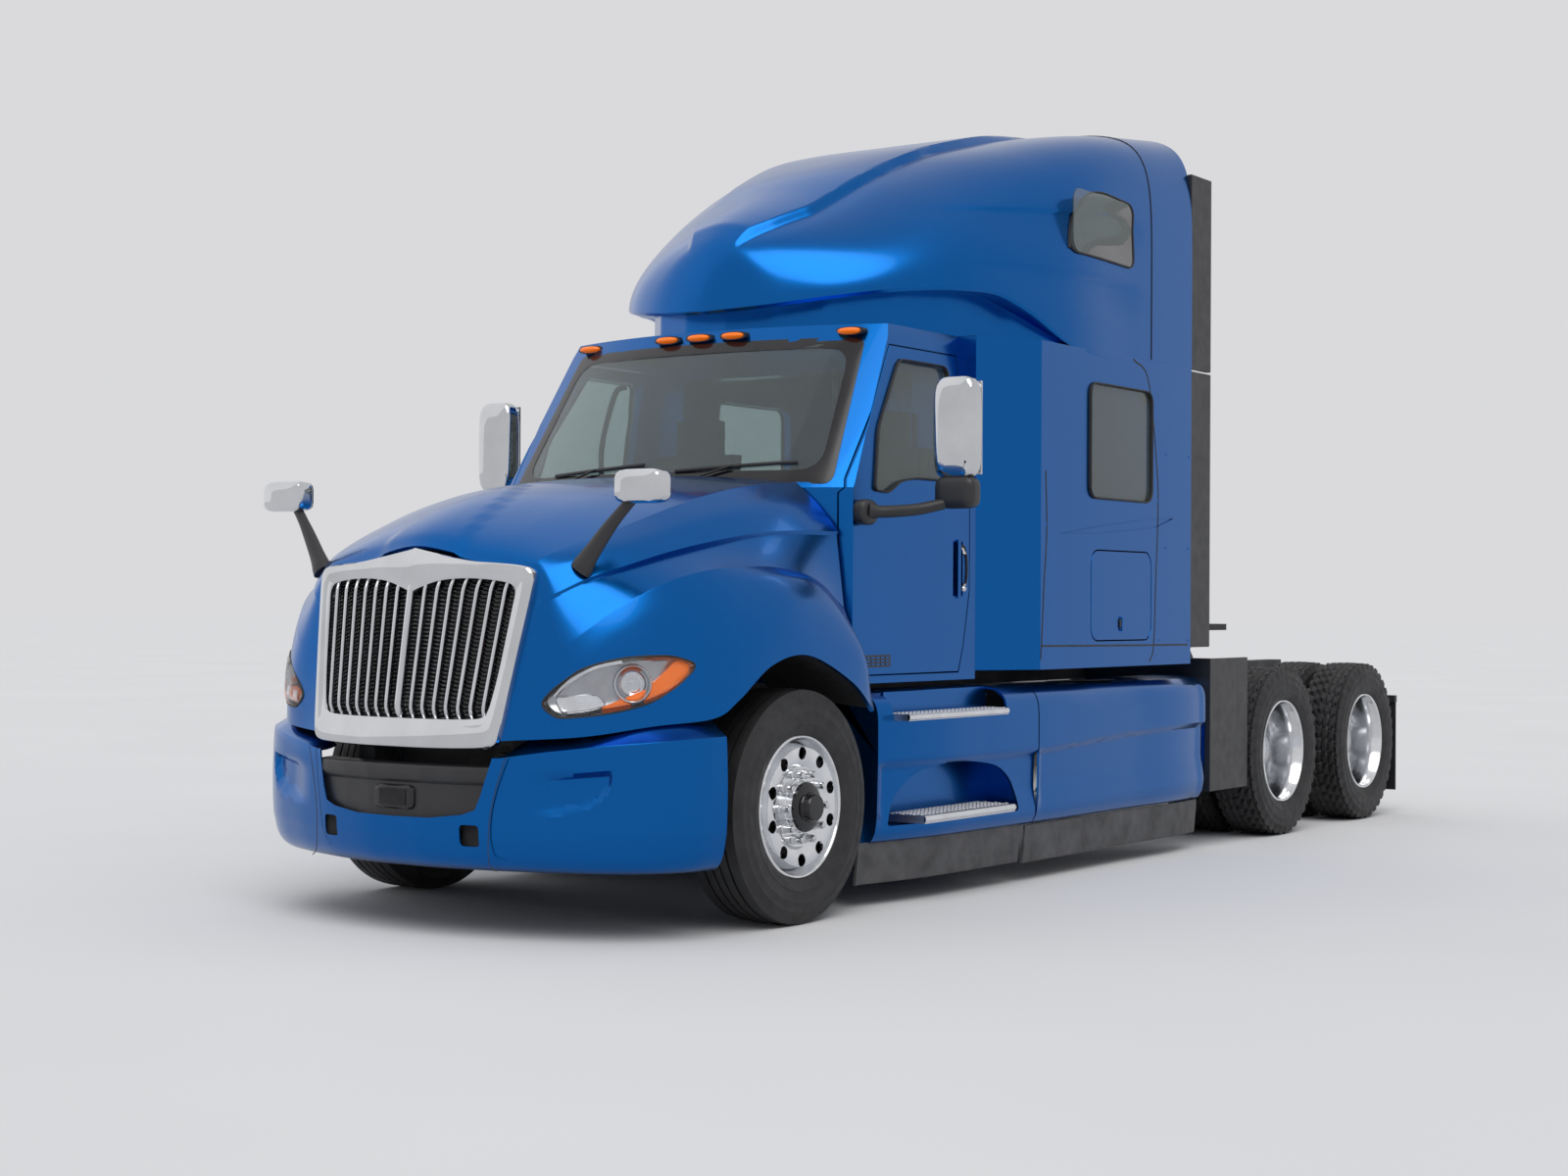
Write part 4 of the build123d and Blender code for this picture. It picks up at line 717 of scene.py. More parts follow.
def roof_throat():
    """Under the roof cap's lip: a rolled edge, then a ledge back to the throat and its wall down to the cab."""
    lip = np.concatenate((ROOF_SKIN[:0:-1, 0], ROOF_SKIN[:, -1]))
    side = np.sign(lip[:, 0])
    knots = np.array(THROAT)
    x, y = (np.interp(lip[:, 1], knots[:, 0], knots[:, k]) for k in (1, 2))
    x = x * side
    foot = stack(x, y, lip[:, 2])
    roll = lip * (1 - 0.06) + foot * 0.06
    inner = lip * (1 - 0.16) + foot * 0.16
    rings = (lip, roll - (0, 0, 0.014), inner - (0, 0, 0.010), inner * 0.6 + foot * 0.4, foot,
             stack(x, y, np.minimum(lip[:, 2], 2.62)))
    return quads(np.stack(rings))


def roof_back():
    """Flat back of the roof cap, from its last section down to the seam."""
    last = ROOF_SKIN[-1]
    return quads(np.stack((last, last * (1, 1, 0) + (0, 0, 2.676))))


piece("roof_cap", "chassis", PAINT, quads(ROOF_SKIN), wall=0.010, replaces=("roof_fairing",))


def on_roof(y, z, lift=0.0):
    """Point of the roof cap's flank at (y, z): its nearest point of the skin, lifted sideways."""
    flank = ROOF_SKIN[ROOF_SKIN[..., 0] > 0.6]
    near = ((flank[None, :, 1] - y[:, None]) ** 2 + (flank[None, :, 2] - z[:, None]) ** 2).argsort(1)[:, :6]
    away = np.hypot(flank[near, 1] - y[:, None], flank[near, 2] - z[:, None]) + 1e-4
    return stack((flank[near, 0] / away).sum(1) / (1 / away).sum(1) + lift, y, z)


# Corners of the tinted window in the roof cap's flank: y, z
ROOF_WINDOW = ((2.335, 3.150), (3.005, 3.135), (3.005, 3.470), (2.640, 3.500), (2.480, 3.440), (2.370, 3.280))
WINDOW_LOOP = dense(rounded(np.array(ROOF_WINDOW), (.08, .06, .06, .10, .12, .12), 8), 3)
WINDOW_MIDDLE = WINDOW_LOOP.mean(0)
WINDOW_RINGS = [WINDOW_MIDDLE + (WINDOW_LOOP - WINDOW_MIDDLE) * share for share in (1, .8, .5, .2, .01)]
ROOF_PANE = quads(np.stack([on_roof(ring[:, 0], ring[:, 1], .005) for ring in WINDOW_RINGS]), (False, True))
ROOF_SEAL = rimmed(oval(.006, .010, 8), on_roof(WINDOW_LOOP[:, 0], WINDOW_LOOP[:, 1], .002), (1, 0, 0))
piece("roof_panes", "chassis", DARK_GLASS, *both(ROOF_PANE))
piece("roof_pane_seals", "chassis", SEAL, *both(ROOF_SEAL), merge=True)
SEAM_ROW = int(np.abs(ROOF_SKIN[:, 0, 1] - 3.24).argmin())
piece("roof_seam", "chassis", SEAL, rod(oval(.0045, .0018, 6), ROOF_SKIN[SEAM_ROW, ::2], (0, 1, 0)))
piece("roof_cap_back", "chassis", PAINT, roof_back())
piece("roof_throat", "chassis", PAINT, roof_throat())


# ------------------------------------------------------------------ front bumper

BUMPER_PLAN = (
    (0, -1.2745), (.15, -1.2705), (.30, -1.250), (.42, -1.226), (.52, -1.197), (.64, -1.160), (.75, -1.118),
    (.86, -1.070), (.95, -1.018), (1.03, -.955), (1.095, -.880), (1.145, -.800), (1.180, -.715), (1.204, -.600),
)
# Height up the face (1 is the crease under the ledge) and how far it stands out
BUMPER_PROFILE = ((.10, -.20), (.03, -.12), (0, -.085), (.04, -.045), (.12, -.018), (.24, -.003), (.29, .002),
                  (.45, .006), (.65, .007), (.85, .004), (.96, .001), (1.0, -.002), (1.1, -.012), (1.5, -.05),
                  (2.0, -.09))
BUMPER_CREASE = ((0, .735), (.511, .737), (.705, .766), (.934, .795), (1.109, .812), (1.205, .824))
DENT_TOP = ((.55, .667), (.706, .686), (.845, .695), (.965, .70))
DENT_FOOT = ((.55, .483), (.607, .487), (.707, .502), (.801, .52), (.868, .539), (.902, .561), (.935, .611),
             (.965, .69))
BUMPER_FOOT = 0.28


def bumper_point(x, y, out_x, out_y, height, stand):
    """Point of the bumper's face from its plan point, outward direction, height up the face and stand-off, with
    the crescent dent in each corner."""
    crease = read(BUMPER_CREASE, x)
    z = BUMPER_FOOT + (crease - BUMPER_FOOT) * np.minimum(height, 1)
    z = z + 0.06 * np.maximum(height - 1, 0) * ease(x, 0.45, 0.62)
    top, foot = read(DENT_TOP, x), read(DENT_FOOT, x)
    dent = ease(top - z, 0, 0.028) * ease(z - foot, 0, 0.045) * ease(0.972 - x, 0, 0.04) * ease(x, 0.54, 0.78)
    stand = stand - 0.008 - 0.030 * dent
    return stack(x + out_x * stand, y + out_y * stand, z)


def bumper_skin(rows=60, columns=160):
    """Bumper: its profile carried round its plan, both halves."""
    plan = smooth_path(BUMPER_PLAN, columns)
    ahead = np.gradient(plan, axis=0)
    ahead /= np.linalg.norm(ahead, axis=1, keepdims=True)
    count = len(BUMPER_PROFILE)
    up = hermite(count, np.linspace(0, count - 1, rows), (6, 11)) @ np.array(BUMPER_PROFILE)
    out = ahead[:, ::-1] * (1, -1)
    return both_halves(bumper_point(*plan.T[:, None], *out.T[:, None], up[:, :1], up[:, 1:]))


def outline_y(points, y, step):
    """Solid from an (x, z) outline and its mirror image, between y and y + step."""
    points = np.asarray(points, float)
    loop = np.concatenate((points, points[::-1] * (-1, 1)))
    return prism(stack(loop[:, 0], y, loop[:, 1]), (0, step, 0))


INSERT = ((.484, .80), (.478, .726), (.437, .585), (.414, .529), (.354, .508), (.200, .490), (.02, .488))
BUMPER = bumper_skin()


def tow_hole(side):
    """Rounded square hole for the tow pin."""
    half, x, y, z = 0.043, side * 0.3855, -1.35, 0.425
    corners = [(x - half, y, z - half), (x + half, y, z - half), (x + half, y, z + half), (x - half, y, z + half)]
    return prism(rounded(corners, 0.018), (0, 0.5, 0))


piece("bumper_skin", "chassis", PAINT, quads(BUMPER), wall=0.008, replaces=("front_bumper",),
      cuts=(outline_y(INSERT, -1.45, 0.5), tow_hole(1), tow_hole(-1)))


def insert_skin():
    """Black insert between the bumper's halves: a smooth band over a recessed panel."""
    x = np.linspace(-0.485, 0.485, 97)
    profile = ((.476, .075), (.484, .030), (.500, .026), (.625, .026), (.640, .012), (.655, .006), (.690, .010),
               (.700, .022), (.704, .075))
    z, back = (hermite(9, np.linspace(0, 8, 49), (3, 5)) @ np.array(profile)).T[:, :, None]
    y = read(BUMPER_PLAN, np.abs(x))[None] + back
    return stack(x[None], y, z)


piece("insert_skin", "chassis", TRIM, quads(insert_skin()), replaces=("bumper_insert",))
# Dark blocks behind the tow holes: painted shade inside the holes
TOW_HOLE_SHADE = slab((.330, -1.205, .370), (.441, -1.10, .480))
piece("tow_hole_shades", "chassis", SHADE, *both(TOW_HOLE_SHADE))
CAMERA_BOX = puffed((-.110, -1.262, .515), (.110, -1.20, .615), 7.0)
CAMERA_FACE = slab((-.072, -1.2655, .532), (.072, -1.24, .598))
piece("camera_box", "chassis", GLOSSY_TRIM, CAMERA_BOX, merge=True)
piece("camera_face", "chassis", SHADE, CAMERA_FACE)


def seam(points, half=0.00225, lift=0.0012):
    """Shut line: a thin dark strip along (x, z) points on the bumper's face."""
    path = smooth_path(points, 40)
    y = read(BUMPER_PLAN, path[:, 0]) - 0.008
    return rod(oval(half, lift, 6), stack(path[:, 0], y, path[:, 1]), (0, -1, 0))


BUMPER_SEAM = seam(((.549, .744), (.505, .600), (.482, .476), (.482, .327), (.514, .290)))
piece("bumper_seams", "chassis", SEAL, *both(BUMPER_SEAM))


# ------------------------------------------------------------------ grille

def on_nose(x, z, lift=0.0):
    """Point of the nose's face: y = -1.25 + 0.22 x^2 + 0.15 (z - 0.78), less its lift."""
    return stack(x, -1.25 + 0.22 * x * x + 0.15 * (z - 0.78) - lift, z)


# Outer and inner edge of the surround, matched point by point: (x, z, x, z) from the top middle round one side
SURROUND = (
    (.000, 1.577, .000, 1.390), (.090, 1.560, .060, 1.414), (.200, 1.540, .150, 1.440), (.320, 1.522, .270, 1.450),
    (.430, 1.515, .380, 1.446), (.530, 1.506, .470, 1.434), (.578, 1.490, .503, 1.418), (.591, 1.455, .514, 1.385),
    (.586, 1.380, .507, 1.320), (.570, 1.250, .495, 1.210), (.550, 1.100, .480, 1.080), (.530, .950, .462, .975),
    (.514, .840, .449, .925), (.500, .795, .434, .903), (.455, .775, .395, .892), (.340, .768, .290, .888),
    (.180, .765, .150, .887), (.000, .765, .000, .887),
)


def surround_loops(count=260):
    """Both edges of the surround, smooth apart from the points at the top middle."""
    half = np.array(SURROUND)
    full = np.concatenate((half, half[-2:0:-1] * (-1, 1, -1, 1), half[:1]))
    loop = hermite(len(full), np.linspace(0, len(full) - 1, count, endpoint=False), (0, len(full) - 1)) @ full
    return on_nose(loop[:, 0], loop[:, 1]), on_nose(loop[:, 2], loop[:, 3])


OUTER, INNER = surround_loops()
FRAME_PROFILE = ((.00, -.012), (.00, .012), (.03, .019), (.10, .024), (.30, .027), (.46, .027), (.54, .024),
                 (.74, .019), (.90, .016), (.97, .011), (1.0, .002), (1.0, -.050))
piece("surround_frame", "hood", CHROME, band(OUTER, INNER, FRAME_PROFILE, (0, -1, 0.12)), sharp=24,
      replaces=("grille_surround",))


BAR_FOOT, BAR_TALL = 0.872, 0.59


def grille_bar(x, half_wide, half_deep):
    """Upright bar that fans outwards to its top and curves back at its foot."""
    z = np.linspace(BAR_FOOT, BAR_FOOT + BAR_TALL, 44)
    spread = x * (0.95 + 0.12 * (z - BAR_FOOT) / BAR_TALL)
    back = 0.004 + 0.050 * (1 - ease(z, 0.862, 0.955)) ** 2 + 0.02 * ease(z, 1.40, 1.47)
    path = on_nose(spread, z, -back)
    return rod(oval(half_wide, half_deep, 14, 2.6), path, (0, -1, 0))


BAR_XS = [side * (0.072 + 0.062 * k) for side in (1, -1) for k in range(7)]
piece("grille_uprights", "hood", CHROME, *[grille_bar(x, 0.0085, 0.020) for x in BAR_XS],
      grille_bar(0.0, 0.017, 0.026), replaces=("grille_bars",))


def grille_shade_plane():
    """Dark sheet behind the bars and strips: painted shade for the dark space seen through the grille."""
    z, x = np.meshgrid(np.linspace(0.86, 1.47, 30), np.linspace(-0.53, 0.53, 40), indexing="ij")
    return quads(on_nose(x, z, -0.075)[:, ::-1])


STRIP_ZS = np.arange(0.885, 1.47, 0.0165)
STRIPS = [rod(oval(0.0022, 0.005, 4), on_nose(np.linspace(-.51, .51, 25), np.full(25, z), -.046))
          for z in STRIP_ZS]
# Painted shade: a dark sheet stands for the shade seen through the grille
piece("grille_shade_sheet", "hood", SHADE, grille_shade_plane())
piece("grille_strips", "hood", GLOSSY_TRIM, *STRIPS)


# ------------------------------------------------------------------ headlamps

BEZEL = metal("lamp_bezel", (0.42, 0.43, 0.45), 0.16, 0.26, 8.0)
AMBER_STRIP = ((.513, 1.122), (.570, 1.103), (.535, 1.055), (.464, 1.006), (.364, .968), (.234, .941), (.224, .951),
               (.353, .985), (.413, 1.040), (.470, 1.090))
LOW_LAMP = ((.042, .976), (.110, .990), (.185, .994), (.226, .955), (.184, .936), (.110, .924), (.065, .924))
HOOK = ((.030, .985), (.060, 1.020), (.100, 1.055), (.150, 1.082), (.205, 1.105), (.290, 1.121))


def lamp_pair(name, material, *parts):
    """The same lamp parts on both sides of the hood."""
    return piece(name, "hood", material, *both(*parts))


GASKET = rimmed(oval(0.005, 0.007, 8), on_cheek(LAMP[:, 0], LAMP[:, 1], -0.003), (0.7, -0.7, 0))
DISH_SHARES = (0.02, 0.30, 0.60, 0.80, 0.90, 0.96, 1.0)
lamp_pair("lamp_dishes", BEZEL, lamp_dish(LAMP, DISH_SHARES, (-.060, -.060, -.058, -.052, -.040, -.018, -.003)))
lamp_pair("lamp_gaskets", SEAL, GASKET)
lamp_pair("lamp_covers", CLEAR, lamp_dish(LAMP * (.985, 1) + (.004, 0), DISH_SHARES,
                                          (.012, .012, .011, .009, .006, .003, -.001)))
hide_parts("headlamps")
OUTWARD = (0.714, -0.70, 0.05)
EYE = on_cheek(np.array(.333), np.array(1.036), -0.034)
BOWL = ((.000, -.022), (.030, -.020), (.050, -.010), (.062, .006), (.069, .020), (.074, .022), (.077, .016),
        (.078, -.03))
BALL = ((.000, .022), (.014, .020), (.028, .012), (.037, .000), (.040, -.014))
lamp_pair("lamp_bowls", CHROME, turned(BOWL, EYE, OUTWARD))
lamp_pair("lamp_balls", CLEAR, turned(BALL, EYE, OUTWARD))


def on_lamp(points, lift, rise=0.012):
    """Raised pad inside the lamp, over an outline of (run, z) points."""
    loop = lamp_loop(points)
    top = lift + rise
    return lamp_dish(loop, (0.02, .5, .85, .97, 1.0, 1.0), (top, top, top, lift + .6 * rise, lift, lift - .03))


lamp_pair("lamp_amber", AMBER, on_lamp(AMBER_STRIP, -.040))
lamp_pair("lamp_low", POLISHED, on_lamp(LOW_LAMP, -.035, -0.012))
HOOK_PATH = smooth_path(HOOK, 30)
lamp_pair("lamp_hooks", CHROME,
          rod(oval(.009, .006, 8), on_cheek(HOOK_PATH[:, 0], HOOK_PATH[:, 1], -.018), (.7, -.7, 0)))


# ------------------------------------------------------------------ tyres and wheels

# Half-section of a tyre's side from the bead to the tread: radius, distance from the tyre's middle
TYRE_SHOULDER = ((.3005, .100), (.302, .112), (.312, .122), (.330, .130), (.352, .1355), (.356, .1375), (.360, .1355),
                 (.385, .1395), (.400, .1400), (.404, .1415), (.408, .1400), (.425, .1385), (.440, .1365),
                 (.444, .1380), (.448, .1350), (.462, .1300), (.470, .1255))


def tread_radius(x):
    """Radius of the front tyre's tread: 0.4995 - 0.32 x^2."""
    return .4995 - .32 * x * x


def ribbed_profile():
    """Front tyre: sidewall rings, then five ribs between four grooves, each rib slightly crowned."""
    ribs = []
    for low, high in ((.119, .072), (.062, .024), (.016, -.016), (-.024, -.062), (-.072, -.119)):
        ribs += [(tread_radius(low) - .013, low - .003 * np.sign(low - high)), (tread_radius(low) - .001, low),
                 (tread_radius((low + high) / 2), (low + high) / 2), (tread_radius(high) - .001, high),
                 (tread_radius(high) - .013, high + .003 * np.sign(low - high))]
    ribs[0], ribs[-1] = (.482, .1215), (.482, -.1215)
    return list(TYRE_SHOULDER) + ribs + [(r, -x) for r, x in TYRE_SHOULDER[::-1]] + [(.292, -.098), (.292, .098)]


def lugged_tyre(centre, columns=25, steps=240, lugs=40):
    """Drive tyre: the same sidewalls round a tread of blocks. The tread's radius at (x, angle) drops into grooves
    across it, which zigzag, and into four grooves round it."""
    across = np.linspace(.122, -.122, columns)
    shoulder = np.array(TYRE_SHOULDER)
    profile = np.concatenate((shoulder, np.stack((np.full(columns, .5), across), 1), shoulder[::-1] * (1, -1),
                              ((.292, -.098), (.292, .098))))
    angle = circle(steps)[None]
    radius, x = profile[:, :1], profile[:, 1:]
    tread = (np.abs(radius - .5) < 1e-6) * 1.0
    row = np.sign(x) * np.floor(np.abs(x) / .042 + .5)
    wave = angle * lugs / (2 * math.pi) + .5 * row + .9 * np.abs(x) / .1
    cut = 1 - ease(np.abs(wave % 1 - .5), .10, .17)
    ring = 1 - ease(np.abs(np.abs(x) / .042 % 1 - .5), .08, .20)
    deep = .016 * np.maximum(cut, .85 * ring) * tread + .30 * x * x * tread
    edge = .006 * cut * (np.abs(radius - .470) < .012) * (1 - tread)
    radius = radius - deep - edge
    grid = stack(x * (1 - edge * 3), radius * np.cos(angle), radius * np.sin(angle))
    return quads(grid[:, ::-1] + np.asarray(centre), (True, True))


def wheel_rim(centre, side, face, rise, hub):
    """Turned wheel from the rim's lip in to the disc and hub, for a disc that stands face outwards from the
    rim's middle and rises towards its edge; hub lists what covers the middle."""
    profile = [(.2995, .098), (.3035, .106), (.3040, .116), (.2990, .1205), (.2930, .119), (.2880, .112),
               (.2860, .098), (.2790, .088), (.2700, .060)]
    lip = face + rise * .85
    if lip < .03:
        profile += [(.2650, .030), (.2640, lip + .028), (.2600, lip + .012)]
    profile += [(.2520, lip + .006), (.2350, lip + .008), (.2150, face + rise + .004), (.1960, face + rise + .004),
                (.1860, face + rise), (.1760, face + .006), (.1700, face + .002), (.1560, face + .001)] + list(hub)
    points, faces = spun(profile, centre, side, 120)
    return points, faces if side < 0 else [block[:, ::-1] for block in faces]


# Radii of the circles on which the hand holes and the studs lie
HOLE_CIRCLE, STUD_CIRCLE = .226, .1429


def hand_holes(centre, x, half=.03):
    """Cylinders for the ten hand holes of a disc."""
    return [spun([(0, -half), (.0275, -half), (.0275, half), (0, half)],
                 centre + (x, HOLE_CIRCLE * math.sin(a), HOLE_CIRCLE * math.cos(a)), 1, 24) for a in circle(10)]


def nuts(centre, side, x, tall=.052):
    """Ten bright nut covers with a flange, on the stud circle."""
    profile = ((.0225, 0), (.0225, .004), (.0175, .008), (.0165, tall * .8), (.0135, tall * .96), (0, tall))
    return [spun(profile, centre + (x, STUD_CIRCLE * math.sin(a), STUD_CIRCLE * math.cos(a)), side, 12)
            for a in circle(10, math.pi / 10)]


FRONT_HUB = ((.112, .109), (.108, .112), (.1075, .142))
FRONT_CAP = ((.1070, .034), (.1030, .044), (.0900, .050), (.0650, .052), (.0600, .060), (.0590, .082), (.0540, .090),
             (.0, .092))
REAR_CAP = ((.1070, .012), (.1060, .030), (.0980, .036), (.0820, .040), (.0800, .130), (.0740, .140), (.0, .146))
FRONT_DRUM = ((.205, -.13), (.205, .06), (.12, .085), (.12, -.13))
INNER_RIM = ((.299, -.12), (.286, -.10), (.262, -.08), (.262, .12), (.286, .12))
OUTER_RIM_BACK = ((.262, -.09), (.262, -.11), (.286, -.118), (.298, -.12))
# How far out each wheel's middle lies, and how far out from there its disc's face does
FRONT_X, OUTER_X, INNER_X = 1.032, 1.103, .773
FRONT_FACE, REAR_FACE = .108, -.142
DRIVE_YS = (("fore", 5.0), ("aft", 6.32))


def front_wheel(name, side):
    """Tyre, disc, nuts, hub cap and brake drum of a front wheel."""
    body, hub = "front_wheel_" + name, np.array((side * FRONT_X, 0, HUB_Z))
    piece("ribbed_tyre_" + name, body, TYRE, turned(ribbed_profile(), hub, (1, 0, 0), 144),
          replaces=("front_tyre_" + name,), merge=True)
    piece("disc_" + name, body, POLISHED, wheel_rim(hub, side, FRONT_FACE, .010, FRONT_HUB), wall=.010, merge=True,
          cuts=[joined(hand_holes(hub, side * .115))], replaces=("front_wheel_" + name,), sharp=28)
    piece("nuts_" + name, body, CHROME, *nuts(hub, side, side * .110), merge=True)
    piece("hub_cap_" + name, body, GLOSSY_TRIM, spun(FRONT_CAP, hub, side, out=FRONT_FACE), merge=True)
    piece("drum_" + name, body, CASTING, spun(FRONT_DRUM, hub, side), merge=True)


def drive_wheels(label, side, y):
    """Twin tyres, outer disc, rims and hub cover of a pair of drive wheels."""
    body = "drive_wheels_" + label
    outer, inner = (np.array((side * x, y, HUB_Z)) for x in (OUTER_X, INNER_X))
    piece("lugged_tyres_" + label, body, TYRE, lugged_tyre(outer), lugged_tyre(inner),
          replaces=("drive_tyres_" + label,), merge=True)
    disc = wheel_rim(outer, side, REAR_FACE, -.012, [(.112, REAR_FACE + .001), (.108, REAR_FACE + .012)])
    piece("dish_" + label, body, POLISHED, disc, wall=.008, merge=True, sharp=28,
          cuts=[joined(hand_holes(outer, side * (REAR_FACE - .012)))], replaces=("drive_wheel_" + label,))
    piece("inner_rim_" + label, body, POLISHED, spun(INNER_RIM, inner, side, 72),
          turned(OUTER_RIM_BACK, outer, (side, 0, 0), 72))
    piece("hub_cover_" + label, body, CHROME, spun(REAR_CAP, outer, side, out=REAR_FACE),
          *nuts(outer, side, side * (REAR_FACE + .002), .045), merge=True)


for name, side in SIDES:
    front_wheel(name, side)
    for place, y in DRIVE_YS:
        drive_wheels(place + "_" + name, side, y)


# ------------------------------------------------------------------ mirrors

HEAD = puffed((.880, -.955, 1.752), (1.118, -.852, 1.888), 5.0)
HEAD_BACK = puffed((.892, -.868, 1.758), (1.105, -.848, 1.884), 5.0)
ARM = smooth_path(((.725, -.955, 1.485), (.765, -.945, 1.545), (.850, -.925, 1.660), (.930, -.905, 1.752),
                   (.985, -.895, 1.800)), 24)
ARM_SIZE = np.interp(np.linspace(0, 1, 24), (0, .12, .3, .6, 1), (2.5, 2.4, 1.9, 1.3, 1.0))
piece("hood_mirror_heads", "hood", CHROME, *both(HEAD), merge=True, replaces=("hood_mirrors",))
HOOD_ARM = rod(oval(.020, .013, 12), ARM, (0, 1, 0), ARM_SIZE)
piece("hood_mirror_arms", "hood", TRIM, *both(HOOD_ARM), *both(HEAD_BACK), merge=True)

MIRROR_ARM = ((1.085, .620, 1.775), (1.14, .665, 1.772), (1.23, .790, 1.785), (1.31, .885, 1.812))
MIRROR_PARTS = (
    puffed((1.262, .856, 1.925), (1.480, .962, 2.385), 5.0, 28, 40),
    slab((1.277, .958, 1.945), (1.465, .969, 2.365)),
    puffed((1.268, .860, 1.790), (1.474, .962, 1.935), 4.5),
    rod(oval(.034, .028, 14), smooth_path(MIRROR_ARM, 20), (0, 0, 1),
        np.interp(np.linspace(0, 1, 20), (0, .25, 1), (1.45, 1, .95))),
    puffed((1.020, .560, 1.712), (1.105, .690, 1.828), 3.0),
)
for name, side in SIDES:
    shell, glass, *mount = [sided(part, side) for part in MIRROR_PARTS]
    piece("mirror_shell_" + name, "door_" + name, CHROME, shell, merge=True, replaces=("door_mirror_" + name,))
    piece("mirror_glass_" + name, "door_" + name, CHROME, glass)
    piece("mirror_mount_" + name, "door_" + name, TRIM, *mount, merge=True)


# ------------------------------------------------------------------ cab

SCREEN_BOW = .218


def on_screen(x, z, lift=0.0):
    """Point of the windshield: y = 0.34 + bow x^2 + 0.6377 (z - 1.88), less its lift."""
    return stack(x, .340 + SCREEN_BOW * x * x + .6377 * (z - 1.88) - lift, z)


def flank_x(z):
    """Half-width of the cab's flank at a height."""
    return 1.032 - .087 * np.clip((z - 1.90) / .70, 0, 1)


def screen_border():
    """Black border of the windshield, between its edge and the clear glass."""
    outer = [(-.940, 1.897), (.940, 1.897), (.850, 2.600), (-.850, 2.600)]
    inner = [(-.868, 1.962), (.868, 1.962), (.798, 2.548), (-.798, 2.548)]
    rings = []
    for corners, radius in ((outer, .05), (inner, .11)):
        loop = dense(rounded(np.array(corners), radius, 10), 8)
        rings.append(on_screen(loop[:, 0], loop[:, 1], .004))
    return band(rings[0], rings[1], ((0, -.010), (0, 0), (.5, .001), (1, 0), (1, -.006)), (0, -1, .6))


piece("screen_border", "chassis", GLOSSY_TRIM, screen_border())


def wiper(x0, x1):
    """Wiper: an arm from the cowl and a blade lying on the glass."""
    arm = on_screen(np.linspace(x0, x0 + .5 * (x1 - x0), 12), np.linspace(1.885, 1.985, 12), .022)
    blade_x = np.linspace(x0 + .02 * (x1 - x0), x1, 20)
    blade = on_screen(blade_x, np.linspace(1.965, 2.000, 20), .012)
    return [rod(oval(.007, .005, 6), arm), rod(oval(.006, .010, 6), blade)]


piece("wipers", "chassis", TRIM, *wiper(-.62, -.02), *wiper(.16, .76))

# Corners of the door's window: y, z
WINDOW = ((.738, 1.874), (.860, 1.868), (.965, 1.925), (1.115, 1.946), (1.495, 1.946), (1.495, 2.500), (1.060, 2.500),
          (.818, 2.160))
# Bevel of each painted node
PAINTED = {"cab_shell": .006, "sleeper_shell": .010, "door_left": .005, "door_right": .005,
           "hatch_left": .005, "hatch_right": .005}
for node, width in PAINTED.items():
    softened(node, PAINT, width)
# Middle of the door handle: y, z
HANDLE_Y, HANDLE_Z = 1.530, 1.532
# Line of its grip: x, z
GRIP = ((1.030, 1.435), (1.046, 1.460), (1.050, 1.530), (1.046, 1.600), (1.030, 1.628))

for name, side in SIDES:
    loop = dense(rounded(np.array(WINDOW), (.03, .03, .04, .04, .03, .05, .05, .05), 6), 3)
    loop = stack(side * (flank_x(loop[:, 1]) + .002), loop[:, 0], loop[:, 1])
    seal = rimmed(oval(.005, .014, 8), loop, (side, 0, 0))
    cup = spun(((.056, 0), (.052, -.004), (.040, -.022), (0, -.030)), (0, 0, 0), side, 32)
    cup = (cup[0] * (1, .78, 2.0) + (side * 1.036, HANDLE_Y, HANDLE_Z), cup[1])
    rim = rimmed(oval(.003, .005, 6), stack(side * 1.036, HANDLE_Y + .0437 * np.cos(circle(40)),
                                            HANDLE_Z + .112 * np.sin(circle(40))), (1, 0, 0))
    grip = rod(oval(.011, .009, 12), [(side * x, HANDLE_Y + .004, z) for x, z in GRIP])
    ball = puffed((side * 1.040 - .016, HANDLE_Y - .014, 1.418), (side * 1.040 + .016, HANDLE_Y + .018, 1.450), 2)
    piece("window_seal_" + name, "door_" + name, SEAL, seal, merge=True)
    piece("handle_cup_" + name, "door_" + name, GLOSSY_TRIM, cup, rim, merge=True)
    piece("handle_grip_" + name, "door_" + name, CHROME, grip, ball, merge=True)


# ------------------------------------------------------------------ sleeper panels

SLEEPER_HALF = 1.200
# Outline of the pressed wedge, lines of the seams and places of the rivets: y, z
CREASE = ((2.208, 1.718), (2.626, 1.730), (3.132, 1.767), (3.302, 1.781), (3.518, 1.836), (3.132, 1.814),
          (2.626, 1.766))
CREASE_MIDDLE = np.array((2.9, 1.775))
CHEEK_SEAM = ((3.020, 2.660), (3.200, 2.560), (3.309, 2.088), (3.323, 1.850), (3.300, 1.500), (3.277, 1.146),
              (3.225, 1.060))
BODY_LINE = ((2.030, 1.157), (2.520, 1.153), (3.270, 1.148), (3.700, 1.146))
FLARE_SEAM = ((2.058, 2.025), (2.070, 1.723), (2.046, 1.471), (2.030, 1.260), (2.015, 1.090))
RIVETS = ((3.422, 1.674), (3.710, 1.676), (3.341, 1.174), (3.709, 1.169), (3.422, 2.180), (3.710, 2.180))


def on_sleeper(points, lift=0.0):
    """Points on the sleeper's flank from (y, z), lifted off it; ahead of the flare's end the flank turns in."""
    y, z = np.asarray(points, float).T
    x = np.interp(y, (1.66, 2.01), (1.032, SLEEPER_HALF))
    return stack(x + lift, y, z)


